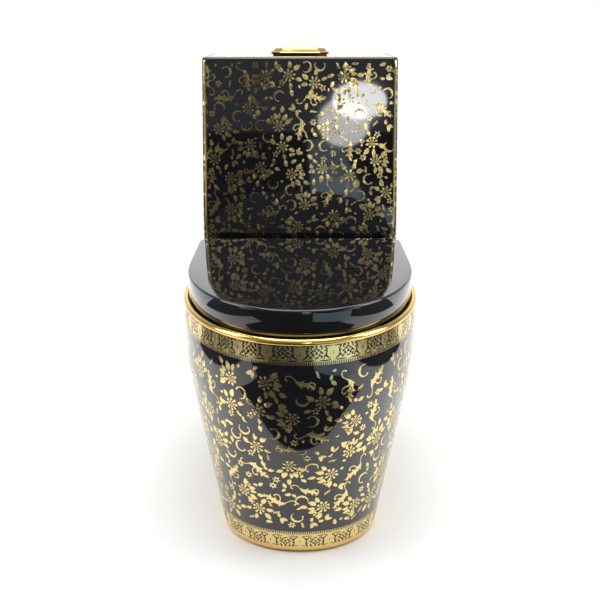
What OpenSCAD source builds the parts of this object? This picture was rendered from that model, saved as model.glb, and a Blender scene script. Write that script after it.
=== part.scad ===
// Skirted one-piece toilet: pan and cistern cast as one ceramic body, a wrap-over seat and lid, a
// two-part push button, and the valves inside the cistern. +Z is up, -Y is the front, and the
// origin lies on the floor at the middle of the footprint.

/* [Overall] */
// Length from the front of the pan to the wall
overall_length = 668; // [640:1:740]
// Largest width of the pan
pan_w = 388; // [370:1:420]
// Height of the pan's rim and deck
rim_h = 392; // [370:1:430]
// Height of the cistern's top edge
cistern_top = 766; // [720:1:820]

/* [Pan] */
// How far the sides lean in below the shoulder, mm per mm
side_taper = 0.215; // [0.1:0.005:0.24]
// How far the front leans back below the shoulder, mm per mm
front_taper = 0.304; // [0.1:0.004:0.34]
// How far the rear sides lean in below the shoulder, mm per mm
rear_taper = 0.235; // [0.1:0.005:0.25]
// Height below the rim where the straight taper begins
shoulder_drop = 88; // [60:1:110]
// Thickness of the ceramic walls
china = 11; // [9:0.5:13]
// Thickness of the deck behind the bowl
deck_t = 24; // [18:1:30]
// Radius of the bead round the rim
bead_r = 6.5; // [5:0.5:8]
// How far the bead stands out of the wall below it
bead_out = 1.6; // [1:0.2:2.4]
// Radius of the foot's edge
foot_r = 10; // [6:1:14]
// Half the width of the bowl's opening
bowl_half_w = 128; // [115:1:132]
// Distance from the wall to the middle of the waste outlet
rough_in = 305; // [295:1:315]
// Radius of the waterway through the trap
trap_r = 25; // [22:0.5:27]

/* [Seat] */
// Width of the lid
lid_w = 371; // [355:1:380]
// Length of the lid
lid_l = 447; // [430:1:455]
// Gap between the rim and the lid's lower edge
lid_gap = 5; // [4:0.5:7]
// Height of the lid's side wall, from its lower edge to the flat top
lid_h = 40; // [38:0.5:46]
// Thickness of the lid's walls
lid_t = 5; // [4:0.5:6]
// Thickness of the seat ring
ring_t = 22; // [18:1:24]
// Gap between the lid's wall and the ring inside it
nest_gap = 2; // [1.5:0.25:3]
// Half the width of the ring's opening
ring_half_w = 106; // [98:1:112]
// Distance between the two hinge bolts
hinge_pitch = 152; // [146:1:158]
// Radius of the hinge pins
pin_r = 4; // [3.5:0.25:4.5]
// Height of the hinge axis over the deck
hinge_h = 23; // [22:0.5:25]

/* [Cistern] */
// Width of the cistern at its top
cistern_top_w = 356; // [340:1:370]
// Width of the cistern at its base
cistern_base_w = 370; // [350:1:376]
// Depth of the cistern from front to back
cistern_d = 184; // [174:1:196]
// Thickness of the cistern's cover
cover_t = 14; // [11:1:16]
// Radius of the cistern's top edge
top_edge_r = 6; // [4:0.5:7]
// Width of the cistern's edge outside the cover
edge_w = 8; // [7:0.5:10]

/* [Push button] */
// Width of the button's surround
bezel_w = 110; // [100:1:116]
// Depth of the button's surround
bezel_d = 76; // [70:1:84]
// Height of the surround over the cover
bezel_h = 13; // [11:0.5:16]
// Height of the button plates over the surround
button_proud = 2.2; // [1.5:0.1:3]
// Travel of each button plate
press = 6; // [4:0.5:7]

/* [Valves] */
// Radius of the flush valve's seat opening
seat_r = 26; // [24:0.5:28]
// Radius of the overflow tube
overflow_r = 14; // [12:0.5:15]
// Radius of the water inlet's thread
inlet_r = 10.48; // [9.5:0.01:10.6]
// Length of the inlet's tail below the cistern
inlet_tail = 52; // [40:1:60]
// Travel of the fill valve's float cup
float_travel = 14; // [8:1:16]
// Distance from the flush valve to the fill valve
fill_offset = 95; // [90:1:104]

/* [Hidden] */
$fn = 48;

fit_gap = 0.05; // running clearance of a pin in its bore
seat_gap = 0.3; // clearance between soft buffers and what they stand on
seat_rest = 0.2; // the same under the cover's pads
joint_gap = 1; // side clearance between neighbouring hinge knuckles

front_y = -overall_length / 2;
wall_y = overall_length / 2;

// Where the pan is widest, at the rim and at the floor
widest_rim_y = front_y + 281;
widest_floor_y = front_y + 211;

// Seat
lid_half = lid_w / 2;
lid_front = front_y + 9;
lid_back = lid_front + lid_l;
lid_bottom = rim_h + lid_gap;
lid_top = lid_bottom + lid_h;
lid_dome = 2;
lid_edge_r = 6;
lid_corner = 22;
hinge_y = lid_back - 20;
hinge_z = rim_h + hinge_h;
knuckle_r = 10;
bush_r = 7;
post_w = 16;
knuckle_w = 16;
lid_knuckle_w = 22;
post_in = hinge_pitch / 2 - post_w / 2;
post_out = hinge_pitch / 2 + post_w / 2;
ring_front = lid_front + lid_t + nest_gap;
ring_back = hinge_y - 14;
ring_half = lid_half - lid_t - nest_gap;
ring_top = lid_bottom + ring_t;
lid_inner_top = lid_top - lid_t;
front_pad_x = (ring_half_w + ring_half) / 2 - 30;
front_pad_y = front_y + 122;
rear_pad_x = (ring_half_w + ring_half) / 2 + 6;
stud_len = 52;

// Cistern
cistern_y0 = wall_y - cistern_d;
cistern_mid = wall_y - cistern_d / 2;
deck_under = rim_h - deck_t;
floor_z = rim_h; // the cistern's inner floor lies level with the deck
ledge_z = cistern_top - cover_t;
cover_gap = 1.2; // gap round the cover and under it
bow = 3; // how far the front face swells at its middle

// Push button
button_gap = 0.8;
pocket_w = 73;
pocket_d = 46;
split_x = 5.5;
rod_r = 3;
rod_x = 14;
sleeve_r = 23;
sleeve_len = 34;
web_t = 3;
plate_z = cistern_top + bezel_h - 3.4; // underside of the button plates
spring_z = cistern_top - 10; // top of the web in the sleeve, where the springs stand

// Flush valve: heights are from the cistern's inner floor
lever_z = floor_z + 236;
pivot_x = 36;
push_x = 50;
lift_x = overflow_r + 4.5;
tip_r = 3;
tip_gap = 0.6; // gap over a lever's tip at rest
fork_w = 6.4;
collar_z = lever_z + tip_r + tip_gap;
collar_r = overflow_r + 6;
tower_top = floor_z + 200;
float_stem_x = overflow_r + 10;
seal_z = floor_z + 22;

// Fill valve
fill_x = -fill_offset;
fill_y = cistern_mid + 13;
riser_top = floor_z + 231;

float_h = 62;
float_cap = 4;
float_stop_z = riser_top - 12; // the cup's top stays under this as it floats
arm_z = riser_top + 17;
float_z = float_stop_z - float_travel - float_h - float_cap;

screw_x = 50; // screws each side of the flush valve
screw_r = 3;

// ---------------------------------------------------------------- outlines and lofts

// A closed outline in n points: a super-ellipse in front, straight sides and rounded rear corners.
function d_outline(half_w, y_front, y_wide, rear_half, y_back, corner, p = 2.08) =
  let (steps = 32, corner_steps = 5)
  concat(
    [for (i = [0:steps])
      let (a = 180 * i / steps, c = cos(a), s = sin(a))
      [half_w * sign(c) * pow(abs(c), 2 / p), y_wide - (y_wide - y_front) * pow(abs(s), 2 / p)]],
    [for (i = [0:corner_steps])
      let (a = 180 - 90 * i / corner_steps)
      [-(rear_half - corner) + corner * cos(a), y_back - corner + corner * sin(a)]],
    [for (i = [0:corner_steps])
      let (a = 90 - 90 * i / corner_steps)
      [rear_half - corner + corner * cos(a), y_back - corner + corner * sin(a)]]
  );

// An egg: half an ellipse to the front of y_mid and half of another behind it.
function egg(half_w, y_front, y_mid, y_back, steps = 44) =
  [for (i = [0:steps - 1])
    let (a = -360 * i / steps, s = sin(a))
    [half_w * cos(a), y_mid + (s < 0 ? y_mid - y_front : y_back - y_mid) * s]];

// A rectangle with rounded corners whose front side swells by bow_out.
function box_outline(half_w, y0, y1, corner, bow_out = 0, steps = 6) =
  let (centres = [[half_w - corner, y0 + corner], [-half_w + corner, y0 + corner],
                  [-half_w + corner, y1 - corner], [half_w - corner, y1 - corner]])
  [for (k = [0:3]) for (i = [0:steps])
    let (a = -90 * k - 90 * i / steps, c = centres[k],
         x = c[0] + corner * cos(a), y = c[1] + corner * sin(a),
         share = 1 - pow(x / half_w, 2))
    [x, y - (k < 2 && y < y0 + corner / 2 ? bow_out * share : 0)]];

function lift(points, z) = [for (p = points) [p[0], p[1], z]];

// A solid through rings of equal length, given from the bottom up. It has a cap at each end, or
// joins its last ring to its first where closed is true.
module loft(rings, closed = false) {
  n = len(rings[0]);
  m = len(rings);
  last = closed ? m - 1 : m - 2;
  sides = [for (j = [0:last]) for (i = [0:n - 1])
    let (k = (j + 1) % m, i2 = (i + 1) % n)
    each [[j * n + i, j * n + i2, k * n + i2], [j * n + i, k * n + i2, k * n + i]]];
  ends = closed ? [] : [
    [for (i = [0:n - 1]) n - 1 - i],
    [for (i = [0:n - 1]) (m - 1) * n + i]
  ];
  polyhedron(points = [for (r = rings) each r], faces = concat(sides, ends), convexity = 6);
}

module mirror_x() {
  children();
  mirror([1, 0, 0]) children();
}

module rod_x_axis(x0, x1, y, z, r) {
  translate([x0, y, z]) rotate([0, 90, 0]) cylinder(r = r, h = x1 - x0);
}

// ---------------------------------------------------------------- pan

// How far a wall has come in at height z, for a taper of s below the shoulder, from the bead down.
function soft_ramp(d) = (d + sqrt(d * d + 64)) / 2;
function lean(z, s) = soft_ramp(s * (rim_h - shoulder_drop - z)) - soft_ramp(-s * (shoulder_drop - bead_r));

function widest_y(z) = widest_floor_y + (widest_rim_y - widest_floor_y) * z / rim_h;

function pan_outline(z, inset) =
  d_outline(
    pan_w / 2 - lean(z, side_taper) - inset, front_y + lean(z, front_taper) + inset, widest_y(z),
    pan_w / 2 - 8 - lean(z, rear_taper) - inset, wall_y - inset, 24
  );

// Heights and insets of the pan's outside: the foot's edge, the wall, then the bead.
bead_z = rim_h - bead_r;
wall_levels = [for (k = [0:10]) [14 + (rim_h - 2 * bead_r - 18) * k / 10, bead_out]];
bead_levels = [for (a = [-60:30:90]) [bead_z + bead_r * sin(a), bead_r - bead_r * cos(a)]];
pan_levels = concat(
  [[0, foot_r * 0.9 + bead_out]],
  [for (a = [20:25:70]) [foot_r * (1 - cos(a)), foot_r * (1 - sin(a)) + bead_out]],
  wall_levels, bead_levels
);

// Rows of height below the rim, half width, front and back, all of the bowl's inside.
bowl_mid = front_y + 190;
bowl_rows = [
  [0, bowl_half_w, 51, 361], [28, bowl_half_w, 51, 361], [60, bowl_half_w - 5, 56, 360],
  [100, bowl_half_w - 17, 74, 360], [140, bowl_half_w - 36, 108, 361],
  [180, bowl_half_w - 56, 152, 361], [215, bowl_half_w - 72, 196, 359],
  [238, bowl_half_w - 86, 226, 350], [252, bowl_half_w - 102, 250, 334]
];

// The bowl's inside, grown by g on every side, and raised to z_top at its mouth.
module bowl_space(g, z_top) {
  rows = [for (i = [len(bowl_rows) - 1:-1:0]) bowl_rows[i]];
  rings = [for (r = rows)
    let (mid = max(bowl_mid, front_y + r[2] + 40))
    lift(egg(r[1] + g, front_y + r[2] - g, mid, front_y + r[3] + g), rim_h - r[0] - g)];
  loft(concat(rings, [lift(egg(bowl_half_w + g, front_y + 51 - g, bowl_mid, front_y + 361 + g), z_top)]));
}

outlet_y = wall_y - rough_in;
horn_z = 12;
// The trap's centre line: out of the bowl's sump, over the weir and down to the floor.
trap_path = [
  [0, outlet_y - 50, 170], [0, outlet_y + 10, 172], [0, outlet_y + 62, 208],
  [0, outlet_y + 104, 218], [0, outlet_y + 134, 190], [0, outlet_y + 136, 140],
  [0, outlet_y + 104, 98], [0, outlet_y + 48, 76], [0, outlet_y, 48], [0, outlet_y, horn_z + 2]
];
// The channel that takes the flush from the cistern to the back of the bowl.
flush_path = [
  [0, cistern_mid, rim_h - 20], [0, cistern_mid - 8, rim_h - 52],
  [0, cistern_mid - 60, rim_h - 66], [0, front_y + 340, rim_h - 66]
];

flush_r = 22; // radius of that channel

module pipe_chain(path, r, fn) {
  for (i = [0:len(path) - 2]) hull() {
    translate(path[i]) sphere(r, $fn = fn);
    translate(path[i + 1]) sphere(r, $fn = fn);
  }
}

foot_pad = 28; // width of the foot that stands on the floor
foot_half = pan_w / 2 - lean(0, side_taper);
bracket_x = foot_half - foot_pad - 12; // outside of the bracket's upright
bracket_y = outlet_y - 40;
bracket_screw_z = 34;

function cistern_half(z) =
  (cistern_base_w + (cistern_top_w - cistern_base_w) * (z - rim_h) / (cistern_top - rim_h)) / 2;

function cistern_ring(z, inset, corner, bow_out = bow) =
  lift(box_outline(cistern_half(z) - inset, cistern_y0 + inset, wall_y - inset, corner, bow_out), z);

// The pan from the foot to the bead round the rim.
module pan_outside() {
  loft([for (l = pan_levels) lift(pan_outline(l[0], l[1]), l[0])]);
}

module cistern_outside() {
  loft(concat(
    [cistern_ring(rim_h - 30, 0, 24), cistern_ring(rim_h + 10, 0, 20), cistern_ring(rim_h + 60, 0, 12),
     cistern_ring(cistern_top - top_edge_r, 0, 10)],
    [for (a = [22.5:22.5:90])
      cistern_ring(cistern_top - top_edge_r + top_edge_r * sin(a), top_edge_r * (1 - cos(a)), 10)]
  ));
}

// The hollow inside the skirt, open at the floor and carried on past the deck's underside.
module skirt_hollow() {
  wall = [for (k = [0:6]) [26 + (deck_under + 2 - 26) * k / 6, china]];
  levels = concat([[-1, foot_pad], [12, foot_pad]], wall);
  loft([for (l = levels) lift(pan_outline(max(l[0], 14), l[1] + bead_out), l[0])]);
}

// The cistern's chamber and the ledge that its cover lies on.
module cistern_chamber() {
  loft([cistern_ring(floor_z - 1, china + 12, 10), cistern_ring(floor_z, china + 12, 10),
        cistern_ring(floor_z + 14, china, 16), cistern_ring(ledge_z + 0.01, china, 16)]);
  loft([cistern_ring(ledge_z, edge_w, 6), cistern_ring(cistern_top + 1, edge_w, 6)]);
}

// The bowl, the trap and its outlet, and the way from the flush valve to the bowl.
module waterways() {
  bowl_space(0, rim_h + 1);
  pipe_chain(trap_path, trap_r, 16);
  translate([0, outlet_y, horn_z - 1]) cylinder(r = trap_r, h = 34, $fn = 32);
  translate([0, outlet_y, -1]) cylinder(r = 58, h = horn_z + 1, $fn = 40);
  pipe_chain(flush_path, flush_r, 12);
  translate([0, cistern_mid, rim_h - 40]) cylinder(r = seat_r + 6, h = 41, $fn = 40);
}

// What lies between two heights.
module slice(z0, z1) {
  intersection() {
    children();
    translate([-pan_w, -overall_length, z0]) cube([2 * pan_w, 2 * overall_length, z1 - z0]);
  }
}

module pan_and_cistern_outside() {
  pan_outside();
  cistern_outside();
}

// The casting is modelled in four parts that meet face to face.
module ceramic_skirt() {
  color("#101014") difference() {
    slice(-1, deck_under) pan_and_cistern_outside();
    skirt_hollow();
    // way in from the wall side for the supply and the nuts
    translate([-110, wall_y - 40, -1]) cube([220, 60, 300]);
    mirror_x() rod_x_axis(90, 180, bracket_y, bracket_screw_z, 3.4, $fn = 16);
  }
}

module ceramic_bowl() {
  color("#101014") difference() {
    slice(0, deck_under) intersection() {
      skirt_hollow();
      union() {
        bowl_space(china, rim_h + 1);
        pipe_chain(trap_path, trap_r + 9, 16);
        translate([0, outlet_y, horn_z]) cylinder(r = trap_r + 9, h = 30, $fn = 32);
        pipe_chain(flush_path, flush_r + china, 12);
        translate([0, cistern_mid, rim_h - 50]) cylinder(r = seat_r + 15, h = 40, $fn = 40);
      }
    }
    waterways();
  }
}

module ceramic_deck() {
  below = deck_under - 2;
  color("#101014") difference() {
    slice(deck_under, rim_h) pan_and_cistern_outside();
    waterways();
    translate([fill_x, fill_y, below]) cylinder(r = inlet_r + 2, h = deck_t + 3, $fn = 40);
    mirror_x() {
      translate([hinge_pitch / 2, hinge_y, below]) cylinder(r = 6, h = deck_t + 3, $fn = 24);
      translate([screw_x, cistern_mid, floor_z - anchor_len])
        cylinder(r = anchor_r / cos(180 / 24), h = anchor_len + 1, $fn = 24);
    }
  }
}

module ceramic_cistern() {
  color("#101014") difference() {
    slice(rim_h, cistern_top + 1) cistern_outside();
    cistern_chamber();
  }
}

// Lies round the outlet's horn and seals it to the floor flange.
module waste_seal() {
  color("#3a3a3c") translate([0, outlet_y, 0]) rotate_extrude($fn = 64) difference() {
    translate([trap_r + 2, 0]) square([54 - trap_r - 2, horn_z + 8]);
    translate([0, horn_z]) square([trap_r + 9.3, 10]);
  }
}

// Angle plates on the floor inside the skirt.
module floor_brackets() {
  color("silver") mirror_x() difference() {
    union() {
      translate([bracket_x - 36, bracket_y - 17, 0]) cube([36, 34, 3]);
      translate([bracket_x - 3, bracket_y - 17, 0]) cube([3, 34, 46]);
    }
    translate([bracket_x - 20, bracket_y, -1]) cylinder(r = 4.5, h = 5);
    rod_x_axis(bracket_x - 5, bracket_x + 2, bracket_y, bracket_screw_z, 2.5);
  }
}

// The outside of the skirt where the side screws come out, between its widest line and its rear.
function skirt_side_x(y, z) =
  let (wide = pan_w / 2 - lean(z, side_taper), rear = pan_w / 2 - 8 - lean(z, rear_taper),
       t = (y - widest_y(z)) / (wall_y - 24 - widest_y(z)))
  wide + (rear - wide) * t - bead_out;

skirt_x = skirt_side_x(bracket_y, bracket_screw_z);
skirt_tilt = atan(side_taper);

module bracket_screws() {
  color("silver") mirror_x() {
    rod_x_axis(bracket_x - 8, skirt_x + 2.6, bracket_y, bracket_screw_z, 2.5);
    rod_x_axis(skirt_x + 1.2, skirt_x + 2.6, bracket_y, bracket_screw_z, 4.5);
  }
}

module screw_caps() {
  color("#c9962b") mirror_x() translate([skirt_x + 0.3, bracket_y, bracket_screw_z])
    rotate([0, 90 + skirt_tilt, 0]) rotate_extrude($fn = 48) difference() {
      intersection() {
        translate([0, -6]) circle(r = 12);
        square([10, 6]);
      }
      translate([-1, -1]) square([7.2, 4.6]);
    }
}

// ---------------------------------------------------------------- cistern cover

module cistern_cover() {
  slab = [[ledge_z + cover_gap, 0], [cistern_top - 2, 0], [cistern_top - 0.6, 0.6], [cistern_top, 2]];
  lip = [ledge_z - 6, ledge_z + cover_gap + 1];
  color("#101014") difference() {
    union() {
      loft([for (l = slab) cistern_ring(l[0], edge_w + cover_gap + l[1], 5)]);
      loft([for (z = lip) cistern_ring(z, china + 6, 12, 0)]);
    }
    translate([0, cistern_mid, ledge_z - 7]) cylinder(r = sleeve_r + 1, h = cover_t + 10);
    loft([for (z = lip) cistern_ring(z < ledge_z ? z - 1 : z, china + 14, 12, 0)]);
  }
}

// Soft pads that keep the cover off the ledge.
module cover_pads() {
  at_x = cistern_top_w / 2 - edge_w - 40;
  color("#d8d8dc") mirror_x() for (y = [cistern_y0 + edge_w + 2.5, wall_y - edge_w - 2.5])
    translate([at_x, y, ledge_z + seat_rest]) cylinder(r = 1.4, h = cover_gap - seat_rest);
}

module wing_nut(bore, z) {
  translate([0, 0, z]) difference() {
    union() {
      cylinder(r = bore + 5, h = 12);
      translate([-bore - 15, -2, 2]) cube([2 * bore + 30, 4, 10]);
    }
    translate([0, 0, -1]) cylinder(r = bore + fit_gap, h = 14);
  }
}

// ---------------------------------------------------------------- seat

function lid_outline(inset) =
  d_outline(lid_half - inset, lid_front + inset, widest_rim_y, lid_half - inset, lid_back - inset,
            max(lid_corner - inset, 4));

// The lid's lower edge steps up behind the hinges, so that it clears the deck as it turns.
function lid_edge_z(y) =
  let (t = min(max((y - hinge_y + 26) / 14, 0), 1))
  lid_bottom + 10 * t * t * (3 - 2 * t);

function lid_edge_ring(inset) = [for (p = lid_outline(inset)) [p[0], p[1], lid_edge_z(p[1])]];

module lid_shell() {
  outer = [for (a = [0:22.5:90])
    lift(lid_outline(lid_edge_r * (1 - cos(a))), lid_top - lid_edge_r + lid_edge_r * sin(a))];
  dome = [for (k = [1:4]) let (s = k / 5)
    lift(lid_outline(lid_edge_r + 130 * s), lid_top + lid_dome * (1 - pow(1 - s, 2)))];
  inside = [lift(lid_outline(lid_t + 5), lid_inner_top), lift(lid_outline(lid_t), lid_inner_top - 5)];
  loft(concat(inside, [lid_edge_ring(lid_t), lid_edge_ring(0)], outer, dome));
}

module seat_lid() {
  notch_in = post_in - knuckle_w - joint_gap - 3;
  notch_out = post_out + lid_knuckle_w + joint_gap + 3;
  color("#0b0b0d") difference() {
    union() {
      difference() {
        lid_shell();
        mirror_x() translate([notch_in, lid_back - lid_t - 1, lid_bottom - 5])
          cube([notch_out - notch_in, lid_t + 3, lid_inner_top - lid_bottom + 5]);
      }
      mirror_x() {
        rod_x_axis(post_out + joint_gap, post_out + joint_gap + lid_knuckle_w, hinge_y, hinge_z, knuckle_r);
        translate([post_out + joint_gap, hinge_y - 6, hinge_z])
          cube([lid_knuckle_w, 12, lid_inner_top - hinge_z + 2]);
      }
    }
    mirror_x() rod_x_axis(post_out, post_out + lid_knuckle_w + 4, hinge_y, hinge_z, bush_r + 0.02);
  }
}

module lid_buffers() {
  color("#8a8a8e") mirror_x() for (at = [[front_pad_x, front_pad_y], [rear_pad_x, hinge_y - 62]])
    translate([at[0], at[1], ring_top + seat_gap]) cylinder(r = 7, h = lid_inner_top - ring_top - seat_gap);
}

// A sleeve round the hinge pin, inside a knuckle.
module pin_sleeve(x0, x1) {
  translate([x0, hinge_y, hinge_z]) rotate([0, 90, 0]) difference() {
    cylinder(r = bush_r, h = x1 - x0);
    translate([0, 0, -1]) cylinder(r = pin_r + fit_gap, h = x1 - x0 + 2);
  }
}

module lid_damper() {
  color("#c8c8cc") pin_sleeve(post_out + joint_gap, post_out + joint_gap + lid_knuckle_w);
}

module lid_hinge_bush() {
  color("#e8e8ea") mirror([1, 0, 0]) pin_sleeve(post_out + joint_gap, post_out + joint_gap + lid_knuckle_w);
}

module ring_damper() {
  color("#c8c8cc") mirror([1, 0, 0]) pin_sleeve(post_in - joint_gap - knuckle_w, post_in - joint_gap);
}

module ring_hinge_bush() {
  color("#e8e8ea") pin_sleeve(post_in - joint_gap - knuckle_w, post_in - joint_gap);
}

function ring_outer(inset) =
  d_outline(ring_half - inset, ring_front + inset, widest_rim_y, ring_half - inset - 2,
            ring_back - inset, 34);

// The ring's hole is an oval with as many points as d_outline gives, so that one loft joins the two.
function ring_hole(grow) =
  let (half_w = ring_half_w + grow, y_mid = widest_rim_y - 20, y_front = front_y + 66 - grow,
       y_back = front_y + 350 + grow,
       front = [for (i = [0:32]) -180 * i / 32], back = [168, 154, 140, 126, 112, 98],
       angles = concat(front, back, [for (a = [5:-1:0]) 180 - back[a]]))
  [for (a = angles)
    [half_w * cos(a), y_mid + (a < 0 ? y_mid - y_front : y_back - y_mid) * sin(a)]];

module seat_ring() {
  z0 = lid_bottom;
  color("#0d0d0f") difference() {
    union() {
      loft([
        lift(ring_outer(2), z0), lift(ring_outer(0), z0 + 3), lift(ring_outer(0), ring_top - 9),
        lift(ring_outer(2), ring_top - 4), lift(ring_outer(7), ring_top - 0.8),
        lift(ring_outer(20), ring_top), lift(ring_hole(20), ring_top - 1.2),
        lift(ring_hole(9), ring_top - 4.5), lift(ring_hole(2), z0 + 11), lift(ring_hole(0), z0 + 5),
        lift(ring_hole(4), z0)
      ], closed = true);
      mirror_x() {
        rod_x_axis(post_in - joint_gap - knuckle_w, post_in - joint_gap, hinge_y, hinge_z, knuckle_r);
        translate([post_in - joint_gap - knuckle_w, ring_back - 12, hinge_z - knuckle_r])
          cube([knuckle_w, hinge_y - ring_back + 12, 12]);
      }
    }
    mirror_x() rod_x_axis(post_in - knuckle_w - 4, post_in, hinge_y, hinge_z, bush_r + 0.02);
  }
}

module ring_buffers() {
  color("#8a8a8e") mirror_x() for (at = [[front_pad_x, front_pad_y], [rear_pad_x, hinge_y - 62]])
    translate([at[0], at[1], rim_h + seat_gap]) cylinder(r = 9, h = lid_gap - seat_gap);
}

module hinge_posts() {
  color("#c9962b") mirror_x() difference() {
    union() {
      translate([hinge_pitch / 2, hinge_y, rim_h]) cylinder(r1 = 15, r2 = 14, h = 4);
      translate([post_in, hinge_y - 7, rim_h + 3]) cube([post_w, 14, hinge_h - 3]);
      rod_x_axis(post_in, post_out, hinge_y, hinge_z, knuckle_r);
    }
    rod_x_axis(post_in - 1, post_out + 1, hinge_y, hinge_z, pin_r);
    translate([hinge_pitch / 2, hinge_y, rim_h - 1]) cylinder(r = 4, h = 9);
  }
}

module hinge_pins() {
  pin_end = post_out + joint_gap + lid_knuckle_w - 2;
  color("silver") mirror_x() rod_x_axis(post_in - joint_gap - knuckle_w, pin_end, hinge_y, hinge_z, pin_r);
}

module hinge_studs() {
  color("silver") mirror_x() translate([hinge_pitch / 2, hinge_y, rim_h + 8 - stud_len - 8])
    cylinder(r = 4, h = stud_len + 8);
}

module hinge_washers() {
  color("#2b2b2e") mirror_x() translate([hinge_pitch / 2, hinge_y, deck_under - 3]) difference() {
    cylinder(r = 11, h = 3);
    translate([0, 0, -1]) cylinder(r = 4 + fit_gap, h = 5);
  }
}

module hinge_wing_nuts() {
  color("#e8e8ea") mirror_x() translate([hinge_pitch / 2, hinge_y, 0]) wing_nut(4, deck_under - 15.2);
}

// ---------------------------------------------------------------- push button

// A rectangle with its four corners cut off.
function cut_corners(half_w, half_d, cut) = [
  [half_w, -half_d + cut], [half_w - cut, -half_d], [-half_w + cut, -half_d], [-half_w, -half_d + cut],
  [-half_w, half_d - cut], [-half_w + cut, half_d], [half_w - cut, half_d], [half_w, half_d - cut]
];

module button_surround() {
  hw = bezel_w / 2;
  hd = bezel_d / 2;
  rows = [[0, 5], [1.2, 4.2], [5, 0], [6.4, 0.6], [7, 3], [11.4, 8.6], [bezel_h - 0.6, 9.6], [bezel_h, 10.6]];
  color("#d4a636") difference() {
    translate([0, cistern_mid, cistern_top])
      loft([for (r = rows) lift(cut_corners(hw - r[1], hd - r[1], 18 - r[1] * 0.5), r[0])]);
    translate([-pocket_w / 2, cistern_mid - pocket_d / 2, cistern_top + 2.4])
      cube([pocket_w, pocket_d, bezel_h]);
    translate([0, cistern_mid, cistern_top - 1]) cylinder(r = sleeve_r - 3, h = 8);
  }
}

module button_sleeve() {
  z0 = cistern_top - sleeve_len;
  color("#e8e8ea") translate([0, cistern_mid, 0]) difference() {
    translate([0, 0, z0]) cylinder(r = sleeve_r, h = sleeve_len);
    translate([0, 0, spring_z]) cylinder(r = sleeve_r - 3, h = sleeve_len);
    translate([0, 0, z0 - 1]) cylinder(r = sleeve_r - 3, h = spring_z - web_t - z0 + 1);
    mirror_x() translate([rod_x, 0, spring_z - 5]) cylinder(r = rod_r + 0.6, h = 10);
  }
}

module button_locknut() {
  color("#e8e8ea") translate([0, cistern_mid, ledge_z + cover_gap - 8]) difference() {
    cylinder(r = sleeve_r + 9, h = 8, $fn = 8);
    translate([0, 0, -1]) cylinder(r = sleeve_r + fit_gap, h = 10);
  }
}

// A coil spring round a push rod, drawn as the tube of space that it fills.
module button_spring(x) {
  color("silver") translate([x, cistern_mid, spring_z]) difference() {
    cylinder(r = 5, h = plate_z - spring_z - 0.1);
    translate([0, 0, -1]) cylinder(r = 4, h = plate_z - spring_z + 2);
  }
}

module button_spring_full() {
  button_spring(-rod_x);
}

module button_spring_half() {
  button_spring(rod_x);
}

// A plate that fills part of the pocket, between x0 and x1, with soft edges.
module button_plate(x0, x1) {
  z0 = plate_z;
  z1 = cistern_top + bezel_h + button_proud;
  y0 = cistern_mid - pocket_d / 2 + button_gap;
  y1 = cistern_mid + pocket_d / 2 - button_gap;
  rows = [[z0, 0], [z1 - 1.6, 0], [z1 - 0.5, 0.7], [z1, 2]];
  mid = (x0 + x1) / 2;
  translate([mid, 0, 0])
    loft([for (r = rows) lift(box_outline((x1 - x0) / 2 - r[1], y0 + r[1], y1 - r[1], 3, 0), r[0])]);
}

module full_flush_button() {
  color("#d4a636") button_plate(-pocket_w / 2 + button_gap, split_x - button_gap / 2);
}

module half_flush_button() {
  color("#d4a636") button_plate(split_x + button_gap / 2, pocket_w / 2 - button_gap);
}

// A rod that hangs from a button plate and steps out over the end of a lever.
module push_rod() {
  elbow = lever_z + 54;
  foot = collar_z;
  translate([rod_x, cistern_mid, elbow]) cylinder(r = rod_r, h = plate_z - elbow);
  rod_x_axis(rod_x - rod_r, push_x + rod_r, cistern_mid, elbow, rod_r);
  translate([push_x, cistern_mid, foot]) cylinder(r = rod_r, h = elbow - foot);
}

module full_push_rod() {
  color("#e8e8ea") mirror([1, 0, 0]) push_rod();
}

module half_push_rod() {
  color("#e8e8ea") push_rod();
}

// ---------------------------------------------------------------- flush valve

flange_r = screw_x + 8;
anchor_r = 6;
anchor_len = 16;

module valve_body() {
  color("#f0f0f2") translate([0, cistern_mid, 0]) difference() {
    union() {
      translate([0, 0, rim_h - 12]) cylinder(r = seat_r + 4, h = floor_z - rim_h + 16);
      translate([0, 0, floor_z + 3]) intersection() {
        cylinder(r = flange_r, h = 5);
        translate([-flange_r, -42, 0]) cube([2 * flange_r, 84, 5]);
      }
      translate([0, 0, floor_z + 8]) cylinder(r = seat_r + 4, h = seal_z - seat_gap - floor_z - 8);
    }
    translate([0, 0, rim_h - 13]) cylinder(r = seat_r, h = seal_z - rim_h + 14);
    mirror_x() translate([screw_x, 0, floor_z + 2]) cylinder(r = screw_r + 0.4, h = 7);
  }
}

module valve_base_seal() {
  color("#222224") translate([0, cistern_mid, floor_z]) difference() {
    cylinder(r = screw_x - anchor_r - 2, h = 3);
    translate([0, 0, -1]) cylinder(r = seat_r + 4 + fit_gap, h = 5);
  }
}

// Rubber plugs in the cistern's floor that swell as their screws are tightened.
module screw_anchors() {
  color("#222224") mirror_x() translate([screw_x, cistern_mid, 0]) difference() {
    union() {
      translate([0, 0, floor_z - anchor_len + 1]) cylinder(r = anchor_r, h = anchor_len - 1);
      translate([0, 0, floor_z]) cylinder(r = anchor_r + 1.4, h = 3);
    }
    translate([0, 0, floor_z - anchor_len + 3]) cylinder(r = screw_r, h = anchor_len + 2);
  }
}

module valve_screws() {
  color("silver") mirror_x() translate([screw_x, cistern_mid, 0]) {
    translate([0, 0, floor_z - anchor_len + 3]) cylinder(r = screw_r, h = anchor_len + 6);
    translate([0, 0, floor_z + 8]) cylinder(r = 5.5, h = 3);
  }
}

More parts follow.
